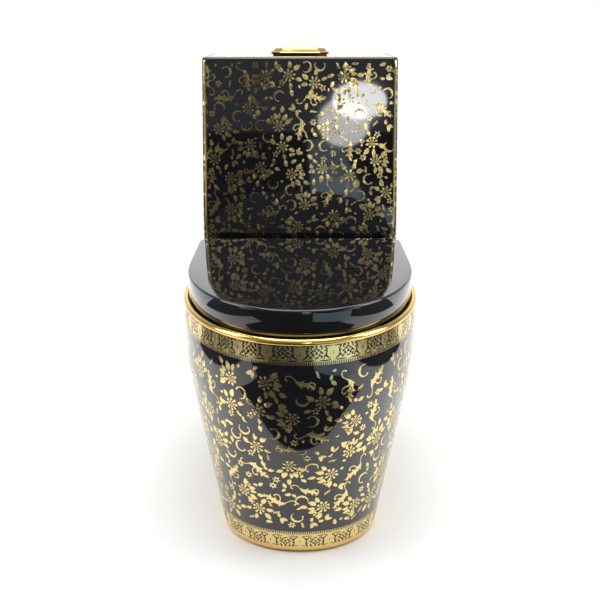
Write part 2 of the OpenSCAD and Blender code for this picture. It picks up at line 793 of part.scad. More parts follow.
// The tower: a foot ring, four posts and a top plate with the lever brackets.
module valve_tower() {
  post_at = 36;
  color("#e6eef5") translate([0, cistern_mid, 0]) difference() {
    union() {
      translate([0, 0, floor_z + 8]) difference() {
        cylinder(r = 41, h = 5);
        translate([0, 0, -1]) cylinder(r = seat_r + 4 + fit_gap, h = 7);
      }
      for (a = [45:90:315]) rotate(a) translate([post_at, 0, floor_z + 12])
        cylinder(r = 4, h = tower_top - floor_z - 12, $fn = 24);
      translate([0, 0, tower_top]) cylinder(r = 41, h = 5);
      // cheeks that hold the lever pins
      mirror_x() for (s = [-1, 1]) translate([pivot_x - 5, s * 9 - 1.5, tower_top + 4])
        cube([10, 3, lever_z - tower_top + 1]);
      // port for the refill pipe
      translate([-14, 30, tower_top + 4]) cylinder(r = 6, h = 16, $fn = 24);
    }
    translate([0, 0, tower_top - 1]) cylinder(r = overflow_r + 0.5, h = 7);
    translate([float_stem_x, 0, tower_top - 1]) cylinder(r = 4, h = 7, $fn = 24);
    translate([-14, 30, tower_top + 8]) cylinder(r = 3.6, h = 16, $fn = 24);
    mirror_x() translate([pivot_x, 0, lever_z]) rotate([90, 0, 0]) cylinder(r = 2, h = 30, center = true);
  }
}

module lever_pins() {
  color("silver") mirror_x() translate([pivot_x, cistern_mid, lever_z]) rotate([90, 0, 0])
    cylinder(r = 2, h = 22, center = true);
}

// The overflow tube lifts off the seat and carries the seal at its foot and a collar at its top.
module overflow_tube() {
  color("#e6eef5") translate([0, cistern_mid, 0]) difference() {
    union() {
      translate([0, 0, seal_z + 3]) cylinder(r = overflow_r, h = lever_z + 26 - seal_z);
      translate([0, 0, seal_z + 3]) cylinder(r = seat_r + 1, h = 5);
      translate([0, 0, collar_z]) cylinder(r = collar_r, h = 4);
    }
    translate([0, 0, seal_z - 1]) cylinder(r = overflow_r - 2, h = lever_z - seal_z + 40);
  }
}

module valve_seal() {
  color("#b23a2e") translate([0, cistern_mid, seal_z]) difference() {
    cylinder(r = seat_r + 3.5, h = 3);
    translate([0, 0, -1]) cylinder(r = overflow_r - 2, h = 5);
  }
}

// A lever between its cheeks: a round tip under the push rod, a boss on the pin, and a lifting end.
module lever(inner_x) {
  translate([0, cistern_mid, lever_z]) difference() {
    union() {
      translate([pivot_x, 0, 0]) rotate([90, 0, 0]) cylinder(r = 4.5, h = 12, center = true);
      translate([push_x, 0, 0]) rotate([90, 0, 0]) cylinder(r = tip_r, h = 12, center = true);
      translate([inner_x, 0, 0]) rotate([90, 0, 0]) cylinder(r = tip_r, h = 12, center = true);
      translate([inner_x, -6, -2]) cube([push_x - inner_x, 12, 4]);
    }
    translate([pivot_x, 0, 0]) rotate([90, 0, 0]) cylinder(r = 2 + fit_gap, h = 20, center = true);
    children();
  }
}

module full_lever() {
  color("#4b6fb3") mirror([1, 0, 0]) lever(lift_x);
}

// Its lifting end is a fork round the small float's stem.
module half_lever() {
  color("#4b6fb3") lever(float_stem_x)
    translate([float_stem_x - tip_r - 1, -fork_w / 2, -5]) cube([tip_r + 6, fork_w, 10]);
}

// A small float beside the tube that ends a half flush early.
module half_flush_float() {
  head = float_stem_x - collar_r - tip_gap;
  color("#e6eef5") translate([float_stem_x, cistern_mid, 0]) {
    translate([0, 0, tower_top - 40]) cylinder(r = 2.5, h = collar_z - tower_top + 42, $fn = 24);
    // a crossbar that the fork lifts, clear of the tube's collar
    translate([-head, -6, collar_z]) cube([2 * head, 12, 3]);
    translate([-3, -9, tower_top - 60]) cube([13, 18, 30]);
  }
}

// ---------------------------------------------------------------- fill valve

nut_room = 14; // length of the tail that the lock nut takes

module fill_valve_body() {
  color("#f0f0f2") translate([fill_x, fill_y, 0]) difference() {
    union() {
      translate([0, 0, deck_under - inlet_tail]) cylinder(r = inlet_r, h = inlet_tail - nut_room);
      translate([0, 0, deck_under - nut_room]) cylinder(r = inlet_r - 1.2, h = 1.5);
      translate([0, 0, deck_under - nut_room + 1.5]) cylinder(r = inlet_r, h = nut_room - 1.5 + deck_t + 4);
      translate([0, 0, floor_z + 3]) cylinder(r = 19, h = 5);
      translate([0, 0, floor_z + 8]) cylinder(r = 11, h = riser_top - floor_z - 8);
      translate([0, 0, riser_top - 3]) cylinder(r = 20, h = 3);
    }
    translate([0, 0, deck_under - inlet_tail - 1])
      cylinder(r = 6, h = riser_top - deck_under + inlet_tail - 3);
  }
}

module fill_valve_cap() {
  color("#2f5fa8") translate([fill_x, fill_y, riser_top]) {
    difference() {
      union() {
        cylinder(r = 22, h = 7);
        translate([0, 0, 7]) cylinder(r1 = 22, r2 = 17, h = 5);
        // ears for the float arm's pin
        for (s = [-1, 1]) translate([6, s * 8 - 2, 11]) cube([12, 4, 11]);
      }
      translate([12, 0, arm_z - riser_top]) rotate([90, 0, 0])
        cylinder(r = 2 + fit_gap, h = 40, center = true);
    }
    rotate(28) translate([20, 0, 3.6]) rotate([0, 90, 0]) cylinder(r = 2.4, h = 14, $fn = 24);
  }
}

module shank_washer() {
  color("#222224") translate([fill_x, fill_y, floor_z]) difference() {
    cylinder(r = 18, h = 3);
    translate([0, 0, -1]) cylinder(r = inlet_r + fit_gap, h = 5);
  }
}

module shank_nut() {
  color("#e8e8ea") translate([fill_x, fill_y, deck_under - 10.2]) difference() {
    cylinder(r = 17, h = 10, $fn = 6);
    translate([0, 0, -1]) cylinder(r = inlet_r + fit_gap, h = 12);
  }
}

module float_cup() {
  color("#2c2c30") translate([fill_x, fill_y, float_z]) difference() {
    union() {
      cylinder(r = 31, h = float_h);
      translate([0, 0, float_h]) cylinder(r1 = 31, r2 = 30, h = float_cap);
    }
    translate([0, 0, -1]) cylinder(r = 12, h = float_h + 6);
    translate([0, 0, -1]) difference() {
      cylinder(r = 28.5, h = float_h - 2);
      cylinder(r = 14.5, h = float_h - 2);
    }
  }
}

link_x = -26; // from the fill valve's axis

module float_link() {
  top = arm_z - tip_r - tip_gap;
  color("silver") translate([fill_x + link_x, fill_y, float_z + float_h + float_cap])
    cylinder(r = 1.8, h = top - float_z - float_h - float_cap);
}

module float_arm() {
  color("#4b6fb3") translate([fill_x, fill_y, arm_z]) {
    translate([12, 0, 0]) rotate([90, 0, 0]) cylinder(r = 4, h = 11, center = true);
    translate([12, 0, 0]) rotate([90, 0, 0]) cylinder(r = 2, h = 21, center = true);
    translate([link_x, 0, 0]) rotate([90, 0, 0]) cylinder(r = tip_r, h = 11, center = true);
    translate([link_x, -5.5, -2]) cube([12 - link_x, 11, 4]);
  }
}

// The moulded refill pipe runs from the fill valve's nozzle to the port on the flush valve's tower.
pipe_r = 3.4;
pipe_start = [fill_x + 34 * cos(28), fill_y + 34 * sin(28), riser_top + 3.6];
pipe_end = [-14, cistern_mid + 30, tower_top + 20];
pipe_route = [
  pipe_start, pipe_start + [6, 3, 0], pipe_start + [13, 5, 3], pipe_start + [20, 5, 10],
  pipe_start + [27, 3, 14], pipe_end + [-8, 2, 34], pipe_end + [-2, 0.5, 24], pipe_end + [0, 0, 12], pipe_end
];

function unit(v) = v / norm(v);
function pipe_ring(i, sides) =
  let (a = pipe_route[max(i - 1, 0)], b = pipe_route[min(i + 1, len(pipe_route) - 1)],
       t = unit(b - a), u = unit(cross(t, [0.3, 1, 0.1])), v = cross(t, u))
  [for (k = [0:sides - 1]) pipe_route[i] + pipe_r * (cos(360 * k / sides) * u + sin(360 * k / sides) * v)];

module refill_pipe() {
  color("#dfe6ea") loft([for (i = [0:len(pipe_route) - 1]) pipe_ring(i, 10)]);
}

// ---------------------------------------------------------------- output

ceramic_skirt();
ceramic_bowl();
ceramic_deck();
ceramic_cistern();
cistern_cover();
cover_pads();
waste_seal();
floor_brackets();
bracket_screws();
screw_caps();
seat_lid();
lid_buffers();
lid_damper();
lid_hinge_bush();
seat_ring();
ring_buffers();
ring_damper();
ring_hinge_bush();
hinge_posts();
hinge_pins();
hinge_studs();
hinge_washers();
hinge_wing_nuts();
button_surround();
button_sleeve();
button_locknut();
button_spring_full();
button_spring_half();
full_flush_button();
half_flush_button();
full_push_rod();
half_push_rod();
valve_body();
valve_base_seal();
valve_screws();
screw_anchors();
valve_tower();
overflow_tube();
valve_seal();
full_lever();
half_lever();
half_flush_float();
lever_pins();
fill_valve_body();
fill_valve_cap();
shank_washer();
shank_nut();
float_cup();
float_link();
float_arm();
refill_pipe();
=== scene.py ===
import random
from math import atan2, cos, pi, radians, sin, sqrt

import bmesh
import bpy
import numpy as np
from mathutils import Euler, Matrix, Vector


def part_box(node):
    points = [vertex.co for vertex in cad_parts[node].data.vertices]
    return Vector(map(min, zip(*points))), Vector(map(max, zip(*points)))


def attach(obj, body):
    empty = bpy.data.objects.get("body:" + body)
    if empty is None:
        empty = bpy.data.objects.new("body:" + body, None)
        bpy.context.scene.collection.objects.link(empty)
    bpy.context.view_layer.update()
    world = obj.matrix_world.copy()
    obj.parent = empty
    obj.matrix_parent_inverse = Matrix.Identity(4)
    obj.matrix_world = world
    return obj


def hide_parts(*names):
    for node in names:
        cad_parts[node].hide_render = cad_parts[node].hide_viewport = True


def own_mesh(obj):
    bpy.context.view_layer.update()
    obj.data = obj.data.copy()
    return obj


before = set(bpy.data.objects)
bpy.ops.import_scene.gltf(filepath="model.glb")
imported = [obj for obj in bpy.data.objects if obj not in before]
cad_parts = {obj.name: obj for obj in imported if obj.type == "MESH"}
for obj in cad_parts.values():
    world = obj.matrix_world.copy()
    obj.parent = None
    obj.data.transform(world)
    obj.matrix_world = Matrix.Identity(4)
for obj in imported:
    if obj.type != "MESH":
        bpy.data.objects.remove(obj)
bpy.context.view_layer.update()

# ------------------------------------------------------------------ studio
# A pale floor that sweeps up into a backdrop, soft lamps over it and at its sides, and the camera
# in front of the toilet, a little above the cistern's top and looking slightly down.
FLOOR_COLOUR, FLOOR_FLECK = (0.86, 0.86, 0.85, 1), (0.88, 0.88, 0.875, 1)
FLOOR_NEAR, FLOOR_FAR = -5.5, 1.6  # metres, as are all the studio's sizes
FLOOR_WIDER = 2.5
BEND, BEND_STEPS = 1.2, 8
BACKDROP_TOP = 4.5
CAMERA_PLACE, CAMERA_DOWN = (0, -1.542, 0.824), 15.49


def studio_finish():
    """Matt white paper with a faint drift of tone."""
    material = bpy.data.materials.new("studio_paper")
    material.use_nodes = True
    tree = material.node_tree
    shader = tree.nodes["Principled BSDF"]
    shader.inputs["Roughness"].default_value = 0.85
    place = tree.nodes.new("ShaderNodeTexCoord")
    cloud = tree.nodes.new("ShaderNodeTexNoise")
    cloud.inputs["Scale"].default_value = 1.5
    blend = tree.nodes.new("ShaderNodeMix")
    blend.data_type = "RGBA"
    blend.inputs["A"].default_value = FLOOR_COLOUR
    blend.inputs["B"].default_value = FLOOR_FLECK
    tree.links.new(place.outputs["Object"], cloud.inputs["Vector"])
    tree.links.new(cloud.outputs["Fac"], blend.inputs["Factor"])
    tree.links.new(blend.outputs["Result"], shader.inputs["Base Color"])
    return material


bm = bmesh.new()
bmesh.ops.create_grid(bm, x_segments=1, y_segments=1, size=4)
for v in bm.verts:
    v.co.x *= FLOOR_WIDER
    v.co.y = FLOOR_NEAR if v.co.y < 0 else FLOOR_FAR
back_edge = [e for e in bm.edges if all(v.co.y > 0 for v in e.verts)]
for step in range(1, BEND_STEPS + 1):
    made = bmesh.ops.extrude_edge_only(bm, edges=back_edge)["geom"]
    fresh = [v for v in made if isinstance(v, bmesh.types.BMVert)]
    for v in fresh:
        v.co.y = FLOOR_FAR + BEND * sin(step * pi / 2 / BEND_STEPS)
        v.co.z = BEND - BEND * cos(step * pi / 2 / BEND_STEPS)
    back_edge = [e for e in made if isinstance(e, bmesh.types.BMEdge)
                 and all(v in fresh for v in e.verts)]
made = bmesh.ops.extrude_edge_only(bm, edges=back_edge)["geom"]
for v in made:
    if isinstance(v, bmesh.types.BMVert):
        v.co.z = BACKDROP_TOP
bmesh.ops.recalc_face_normals(bm, faces=bm.faces)
sweep_mesh = bpy.data.meshes.new("studio_sweep")
bm.to_mesh(sweep_mesh)
bm.free()
sweep_mesh.shade_smooth()
sweep = bpy.data.objects.new("studio_sweep", sweep_mesh)
bpy.context.scene.collection.objects.link(sweep)
sweep_mesh.materials.append(studio_finish())


def card(name, middle, size, turn, colour, glow=0.0):
    """A card beside or before the object, hidden from the camera and seen only in reflections."""
    bm = bmesh.new()
    bmesh.ops.create_grid(bm, x_segments=1, y_segments=1, size=0.5, matrix=Matrix.LocRotScale(
        Vector(middle), Euler([radians(a) for a in turn]), Vector((*size, 1))))
    mesh = bpy.data.meshes.new(name)
    bm.to_mesh(mesh)
    bm.free()
    material = bpy.data.materials.new(name)
    material.use_nodes = True
    shader = material.node_tree.nodes["Principled BSDF"]
    shader.inputs["Base Color"].default_value = (*colour, 1)
    shader.inputs["Roughness"].default_value = 0.9
    shader.inputs["Emission Color"].default_value = (*colour, 1)
    shader.inputs["Emission Strength"].default_value = glow
    mesh.materials.append(material)
    made = bpy.data.objects.new(name, mesh)
    bpy.context.scene.collection.objects.link(made)
    made.visible_camera = False


DARK, PALE = (0.03, 0.032, 0.035), (0.43, 0.55, 0.62)
card("dark_card_near", (0, -0.615, 0.002), (1.24, 0.37), (0, 0, 0), DARK)
card("dark_card_far", (0, -3.1, 0.002), (3.6, 4.6), (0, 0, 0), DARK)
card("dark_card_left", (-1.7, -0.2, 0.002), (1.5, 1.2), (0, 0, 0), DARK)
card("dark_card_right", (1.7, -0.2, 0.002), (1.5, 1.2), (0, 0, 0), DARK)
card("pale_card_far", (0.255, -3.52, 0.004), (0.35, 2.74), (0, 0, 0), PALE, 1.0)
card("pale_card_near", (0.505, -0.88, 0.135), (0.72, 0.25), (90, 0, 37.7), PALE, 1.0)

LAMPS = [  # name, place, size, watts, what it points at
    ("lamp_over", (0.0, -0.5, 2.7), (2.6, 2.2), 62, (0, 0, 0.3)),
    ("lamp_left", (-2.3, -0.4, 1.3), (1.2, 2.2), 30, (0, 0, 0.4)),
    ("lamp_right", (2.3, -0.3, 1.3), (1.2, 2.2), 34, (0, 0, 0.4)),
    ("window_upper", (0.46, -3.2, 0.42), (0.42, 0.2), 2.4, (0.1, 0.15, 0.6)),
    ("window_lower", (0.34, -3.21, 0.30), (0.4, 0.26), 1.7, (0.1, 0.15, 0.6)),
    ("lamp_back", (0.0, 1.3, 3.0), (3.0, 1.2), 40, (0, 2.2, 0.6)),
]
for name, place, size, watts, target in LAMPS:
    lamp = bpy.data.lights.new(name, "AREA")
    lamp.shape = "ELLIPSE" if "window" in name else "RECTANGLE"
    lamp.size, lamp.size_y = size
    lamp.energy = watts
    holder = bpy.data.objects.new(name, lamp)
    holder.location = place
    holder.rotation_euler = (Vector(target) - Vector(place)).to_track_quat("-Z", "Y").to_euler()
    bpy.context.scene.collection.objects.link(holder)

world = bpy.data.worlds.new("studio_air")
world.use_nodes = True
world.node_tree.nodes["Background"].inputs["Color"].default_value = (0.9, 0.95, 1, 1)
world.node_tree.nodes["Background"].inputs["Strength"].default_value = 0.3
bpy.context.scene.view_settings.view_transform = "Standard"
bpy.context.scene.world = world

lens = bpy.data.cameras.new("camera")
lens.lens = 54.8
lens.sensor_width = 36
lens.shift_y = -0.0395
camera = bpy.data.objects.new("camera", lens)
camera.location = CAMERA_PLACE
camera.rotation_euler = Euler((radians(90 - CAMERA_DOWN), 0, 0))
bpy.context.scene.collection.objects.link(camera)
bpy.context.scene.camera = camera

# ------------------------------------------------------------------ ceramic casting
# Pan and cistern are one vitreous china casting, slip-cast in plaster and fired with a deep black
# glaze. The skirt is hollow and open at the floor and at the wall, and the trap runs inside it.
deck_low, deck_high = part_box("ceramic_deck")
_, tank_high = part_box("ceramic_cistern")
RIM = deck_high.z * 1000  # millimetres, as are all the sizes below
TOP = tank_high.z * 1000
FRONT, WALL = deck_low.y * 1000, deck_high.y * 1000
PAN_HALF = deck_high.x * 1000
DECK_UNDER = deck_low.z * 1000
CHINA = 11
BEAD = 5.5
BEAD_MID = RIM - 1  # it stands proud of the deck, close under the lid's edge
BEAD_LOW = BEAD_MID - 0.7 * BEAD
BEAD_OUT = 1.6
UPRIGHT_WALL = 88  # under the rim the wall is nearly upright, and below this it leans in
SIDE_LEAN, FRONT_LEAN, REAR_LEAN = 0.215, 0.304, 0.235
LEAN_BLEND = 8
ROUNDNESS = 2.08
PAN_CORNER = 24
TANK_DEPTH, TANK_WIDE, TANK_TAPER = 184, 370, 14
TANK_FRONT = WALL - TANK_DEPTH
TANK_MID = WALL - TANK_DEPTH / 2
EDGE = 8
LEDGE = TOP - 14
BOWL_HALF = 128
BOWL_MID = FRONT + 190
ROUGH_IN = 305
OUTLET_Y = WALL - ROUGH_IN
TRAP_BORE, TRAP_SKIN = 25, 34
FLUSH_BORE, FLUSH_SKIN = 22, 33
LID_STUD_X, LID_STUD_Y, VALVE_STUD_X, INLET_X = 76, 102, 50, -95


def lofted(rings, closed=False):
    """A closed skin through rings of equal length; closed joins the last ring to the first."""
    bm = bmesh.new()
    loop = bmesh.ops.create_circle(bm, cap_ends=not closed, segments=len(rings[0]), radius=1)["verts"]
    first = edges = list(bm.edges)
    for v, point in zip(loop, rings[0]):
        v.co = Vector(point) / 1000
    for ring in rings[1:]:
        made = bmesh.ops.extrude_edge_only(bm, edges=edges)["geom"]
        fresh = {v for v in made if isinstance(v, bmesh.types.BMVert)}
        edges = [e for e in made if isinstance(e, bmesh.types.BMEdge) and e.verts[0] in fresh
                 and e.verts[1] in fresh]
        loop = [next(e.other_vert(v) for e in v.link_edges if e.other_vert(v) in fresh) for v in loop]
        for v, point in zip(loop, ring):
            v.co = Vector(point) / 1000
    if closed:
        bmesh.ops.bridge_loops(bm, edges=first + edges)
    else:
        bmesh.ops.edgeloop_fill(bm, edges=edges)
    bmesh.ops.recalc_face_normals(bm, faces=bm.faces)
    return bm


def piece(name, bm, *materials):
    """An object from a bmesh, in place, with its materials."""
    mesh = bpy.data.meshes.new(name)
    bm.to_mesh(mesh)
    bm.free()
    made = bpy.data.objects.new(name, mesh)
    bpy.context.scene.collection.objects.link(made)
    for material in materials:
        mesh.materials.append(material)
    return made


def settle(made):
    """Takes the modifiers' result as the piece's own mesh."""
    bpy.context.view_layer.update()
    result = bpy.data.meshes.new_from_object(made.evaluated_get(bpy.context.evaluated_depsgraph_get()))
    made.modifiers.clear()
    old = made.data
    made.data = result
    result.name = made.name
    bpy.data.meshes.remove(old)


def shape_with(made, operation, *tools):
    """Adds the tools to a piece, or cuts them out of it, and clears them away."""
    for bm in tools:
        tool = piece("tool", bm)
        step = made.modifiers.new("step", "BOOLEAN")
        step.operation = operation
        step.solver = "EXACT"
        step.object = tool
        settle(made)
        bpy.data.meshes.remove(tool.data)
    return made


def soften(made, angle=32):
    """Smooth shading that keeps the edges sharper than the angle."""
    made.data.shade_smooth()
    made.data.set_sharp_from_angle(angle=radians(angle))
    return made


def ramp(d):
    """Nothing below zero and d above it, with a soft bend between."""
    return (d + sqrt(d * d + LEAN_BLEND ** 2)) / 2


def lean(z, slope):
    """How far a wall has come in at height z below the shoulder."""
    return ramp(slope * (RIM - UPRIGHT_WALL - z)) - ramp(-slope * (UPRIGHT_WALL - BEAD))


def arc(n, start, end):
    return [start + (end - start) * i / n for i in range(n + 1)]


def d_outline(half, front, wide, rear_half, back, corner, fine=96):
    """Counted from the front's middle: a super-ellipse, straight sides and rounded rear corners."""
    power = 2 / ROUNDNESS
    points = []
    for i in range(fine // 2 + 1):
        a = pi / 2 - pi / 2 * i / (fine // 2)
        c, s = abs(cos(a)), abs(sin(a))
        points.append((half * (c ** power if c > 1e-9 else 0), wide - (wide - front) * s ** power))
    end = (rear_half, back - corner)
    sides = fine // 8
    points += [(half + (end[0] - half) * k / sides, wide + (end[1] - wide) * k / sides)
               for k in range(1, sides)]
    points += [(rear_half - corner + corner * cos(a), back - corner + corner * sin(a))
               for a in arc(7, 0, pi / 2)]
    rear = fine // 16
    points += [((rear_half - corner) * (1 - k / rear), back) for k in range(1, rear + 1)]
    return points + [(-x, y) for x, y in reversed(points[1:-1])]


def pan_outline(z, inset):
    """The pan's and skirt's outline at a height, widest a little further back towards the rim."""
    wide = FRONT + 211 + 70 * z / RIM
    return d_outline(PAN_HALF - lean(z, SIDE_LEAN) - inset, FRONT + lean(z, FRONT_LEAN) + inset, wide,
                     PAN_HALF - 8 - lean(z, REAR_LEAN) - inset, WALL - inset, PAN_CORNER)


def at_height(points, z):
    return [(x, y, z) for x, y in points]


def tank_outline(z, inset, corner, bow=3):
    """Counted from the front's middle: a rounded rectangle whose front swells at its middle."""
    half = (TANK_WIDE - TANK_TAPER * (z - RIM) / (TOP - RIM)) / 2 - inset
    y0, y1 = TANK_FRONT + inset, WALL - max(inset, 0)
    points = [((half - corner) * k / 20, y0) for k in range(20)]
    points += [(half - corner + corner * sin(a), y0 + corner - corner * cos(a))
               for a in arc(8, 0, pi / 2)]
    points += [(half, y0 + corner + (y1 - y0 - 2 * corner) * k / 10) for k in range(1, 10)]
    points += [(half - corner + corner * cos(a), y1 - corner + corner * sin(a))
               for a in arc(8, 0, pi / 2)]
    points += [((half - corner) * (1 - k / 10), y1) for k in range(1, 11)]
    bowed = [(x, y - bow * (1 - (x / half) ** 2) * max(0, min(1, (y0 + corner - y) / corner)))
             for x, y in points]
    return bowed + [(-x, y) for x, y in reversed(bowed[1:-1])]


def egg(half, front, mid, back, n=96):
    """An oval with its widest place at mid and a front and a back of different length."""
    turn = [2 * pi * i / n for i in range(n)]
    return [(half * sin(a), mid - (mid - front if cos(a) > 0 else back - mid) * cos(a)) for a in turn]


def smooth_rows(rows, between):
    """Rows of numbers with more rows put in between them, on a smooth curve."""
    r = [rows[0]] + list(rows) + [rows[-1]]
    out = []
    for i in range(1, len(r) - 2):
        for k in range(between):
            t = k / between
            out.append([0.5 * (2 * b + (c - a) * t + (2 * a - 5 * b + 4 * c - d) * t * t
                               + (3 * b - a - 3 * c + d) * t ** 3)
                        for a, b, c, d in zip(r[i - 1], r[i], r[i + 1], r[i + 2])])
    return out + [list(rows[-1])]


def pipe(path, radius, n=32, between=5):
    """A round bar along a path of (y, z) points in the middle plane."""
    line = smooth_rows(path, between)
    rings = []
    for i, (y, z) in enumerate(line):
        y0, z0 = line[max(i - 1, 0)]
        y1, z1 = line[min(i + 1, len(line) - 1)]
        length = sqrt((y1 - y0) ** 2 + (z1 - z0) ** 2)
        ny, nz = -(z1 - z0) / length, (y1 - y0) / length
        rings.append([(radius * cos(a), y + ny * radius * sin(a), z + nz * radius * sin(a))
                      for a in arc(n, 0, 2 * pi)[:-1]])
    return lofted(rings)


def upright(x, y, z0, z1, radius, n=48, top=None):
    """A round bar standing up."""
    turn = arc(n, 0, 2 * pi)[:-1]
    return lofted([[(x + r * cos(a), y + r * sin(a), z) for a in turn]
                   for z, r in ((z0, radius), (z1, top or radius))])


def block(x0, x1, y0, y1, z0, z1):
    """A box between two corners."""
    bm = bmesh.new()
    bmesh.ops.create_cube(bm, size=1, matrix=Matrix.LocRotScale(
        Vector(((x0 + x1) / 2000, (y0 + y1) / 2000, (z0 + z1) / 2000)), None,
        Vector(((x1 - x0) / 1000, (y1 - y0) / 1000, (z1 - z0) / 1000))))
    return bm


# Depth below the rim, half width, and where its front and back come, from the pan's front.
BOWL_ROWS = [(0, 128, 51, 361), (28, 128, 51, 361), (60, 123, 56, 360), (100, 111, 74, 360),
             (140, 92, 108, 361), (180, 72, 152, 361), (215, 56, 196, 359), (238, 42, 226, 350),
             (252, 26, 250, 334)]
TRAP = [(OUTLET_Y - 50, 170), (OUTLET_Y + 10, 172), (OUTLET_Y + 62, 208), (OUTLET_Y + 104, 218),
        (OUTLET_Y + 134, 190), (OUTLET_Y + 136, 140), (OUTLET_Y + 104, 98), (OUTLET_Y + 48, 76),
        (OUTLET_Y, 48)]
FLUSH = [(TANK_MID, RIM - 20), (TANK_MID - 8, RIM - 52), (TANK_MID - 60, RIM - 66),
         (FRONT + 340, RIM - 66)]


def bowl_rings(grow, lip):
    """The bowl from its bottom up, grown all round, with or without its mouth's rounded lip."""
    rings = []
    for drop, half, front, back in reversed(smooth_rows(BOWL_ROWS, 4)):
        mid = max(BOWL_MID, FRONT + front + 40)
        if not lip or drop > 12:
            rings.append(at_height(egg(half + grow, FRONT + front - grow, mid, FRONT + back + grow),
                                   RIM - drop - grow))
    if lip:  # the mouth's rounded edge
        for a in arc(6, 0, pi / 2):
            out = 7 * (1 - cos(a))
            rings.append(at_height(egg(BOWL_HALF + out, FRONT + 51 - out, BOWL_MID, FRONT + 361 + out),
                                   RIM - 7 + 7 * sin(a)))
        rings.append(at_height(egg(BOWL_HALF + 7, FRONT + 44, BOWL_MID, FRONT + 368), RIM + 4))
    else:
        rings.append(at_height(egg(BOWL_HALF + grow, FRONT + 51 - grow, BOWL_MID, FRONT + 361 + grow),
                               RIM + 1))
    return rings


pan_levels = [(0, 9 + BEAD_OUT)] + [(10 * (1 - cos(a)), 10 * (1 - sin(a)) + BEAD_OUT)
                                    for a in arc(5, radians(20), radians(85))]
pan_levels += [(z, BEAD_OUT) for z in arc(40, 13, BEAD_MID - BEAD - 3)]
pan_levels += [(BEAD_MID + BEAD * sin(a), BEAD - BEAD * cos(a))
               for a in arc(18, radians(-45), radians(169.5))]
casting = piece("ceramic_casting", lofted([at_height(pan_outline(z, i), z) for z, i in pan_levels]))
tank_levels = [(RIM - 6, -5, 24), (RIM + 0.5, -5, 24), (RIM + 2, -2.6, 23), (RIM + 4.5, -0.9, 22),
               (RIM + 8, 0, 20)]
tank_levels += [(z, 0, max(10, 20 - (z - RIM) / 6)) for z in arc(20, RIM + 16, TOP - 6)]
tank_levels += [(TOP - 6 + 6 * sin(a), 6 - 6 * cos(a), 10) for a in arc(6, 0, pi / 2)[1:]]
tank_levels = [(z, i if z > RIM + 5 else max(i, -1.2), c) for z, i, c in tank_levels]
shape_with(casting, "UNION", lofted([at_height(tank_outline(z, i, c), z) for z, i, c in tank_levels]))

hollow_levels = [(-1, 28), (12, 28)] + [(z, CHINA) for z in arc(8, 26, DECK_UNDER)]
hollow = piece("hollow", lofted([at_height(pan_outline(max(z, 14), i + BEAD_OUT), z)
                                 for z, i in hollow_levels]))
shape_with(hollow, "DIFFERENCE", lofted(bowl_rings(CHINA, False)), pipe(TRAP, TRAP_SKIN),
           upright(0, OUTLET_Y, 12, 54, TRAP_SKIN), pipe(FLUSH, FLUSH_SKIN),
           upright(0, TANK_MID, RIM - 50, RIM, 41))
bm = bmesh.new()
bm.from_mesh(hollow.data)
bpy.data.meshes.remove(hollow.data)
chamber = [(RIM - 0.5, CHINA + 12, 10), (RIM, CHINA + 12, 10), (RIM + 14, CHINA, 16),
           (LEDGE - 20, CHINA, 16), (LEDGE + 0.5, CHINA, 16)]
shape_with(casting, "DIFFERENCE", bm,
           lofted([at_height(tank_outline(z, i, c), z) for z, i, c in chamber]),
           lofted([at_height(tank_outline(z, EDGE, 6), z) for z in (LEDGE, LEDGE + 7, TOP + 1)]),
           lofted(bowl_rings(0, True)), pipe(TRAP, TRAP_BORE), upright(0, OUTLET_Y, 11, 52, TRAP_BORE),
           upright(0, OUTLET_Y, -1, 12, 58), pipe(FLUSH, FLUSH_BORE),
           upright(0, TANK_MID, RIM - 40, RIM + 1, 32), block(-110, 110, WALL - 40, WALL + 20, -1, 299),
           upright(INLET_X, TANK_MID + 13, DECK_UNDER - 2, RIM + 1, 12.5),
           *(upright(x, y, z, RIM + 1, 6)
             for x, y, z in ((-LID_STUD_X, LID_STUD_Y, DECK_UNDER - 2),
                             (LID_STUD_X, LID_STUD_Y, DECK_UNDER - 2),
                             (-VALVE_STUD_X, TANK_MID, 376), (VALVE_STUD_X, TANK_MID, 376))))


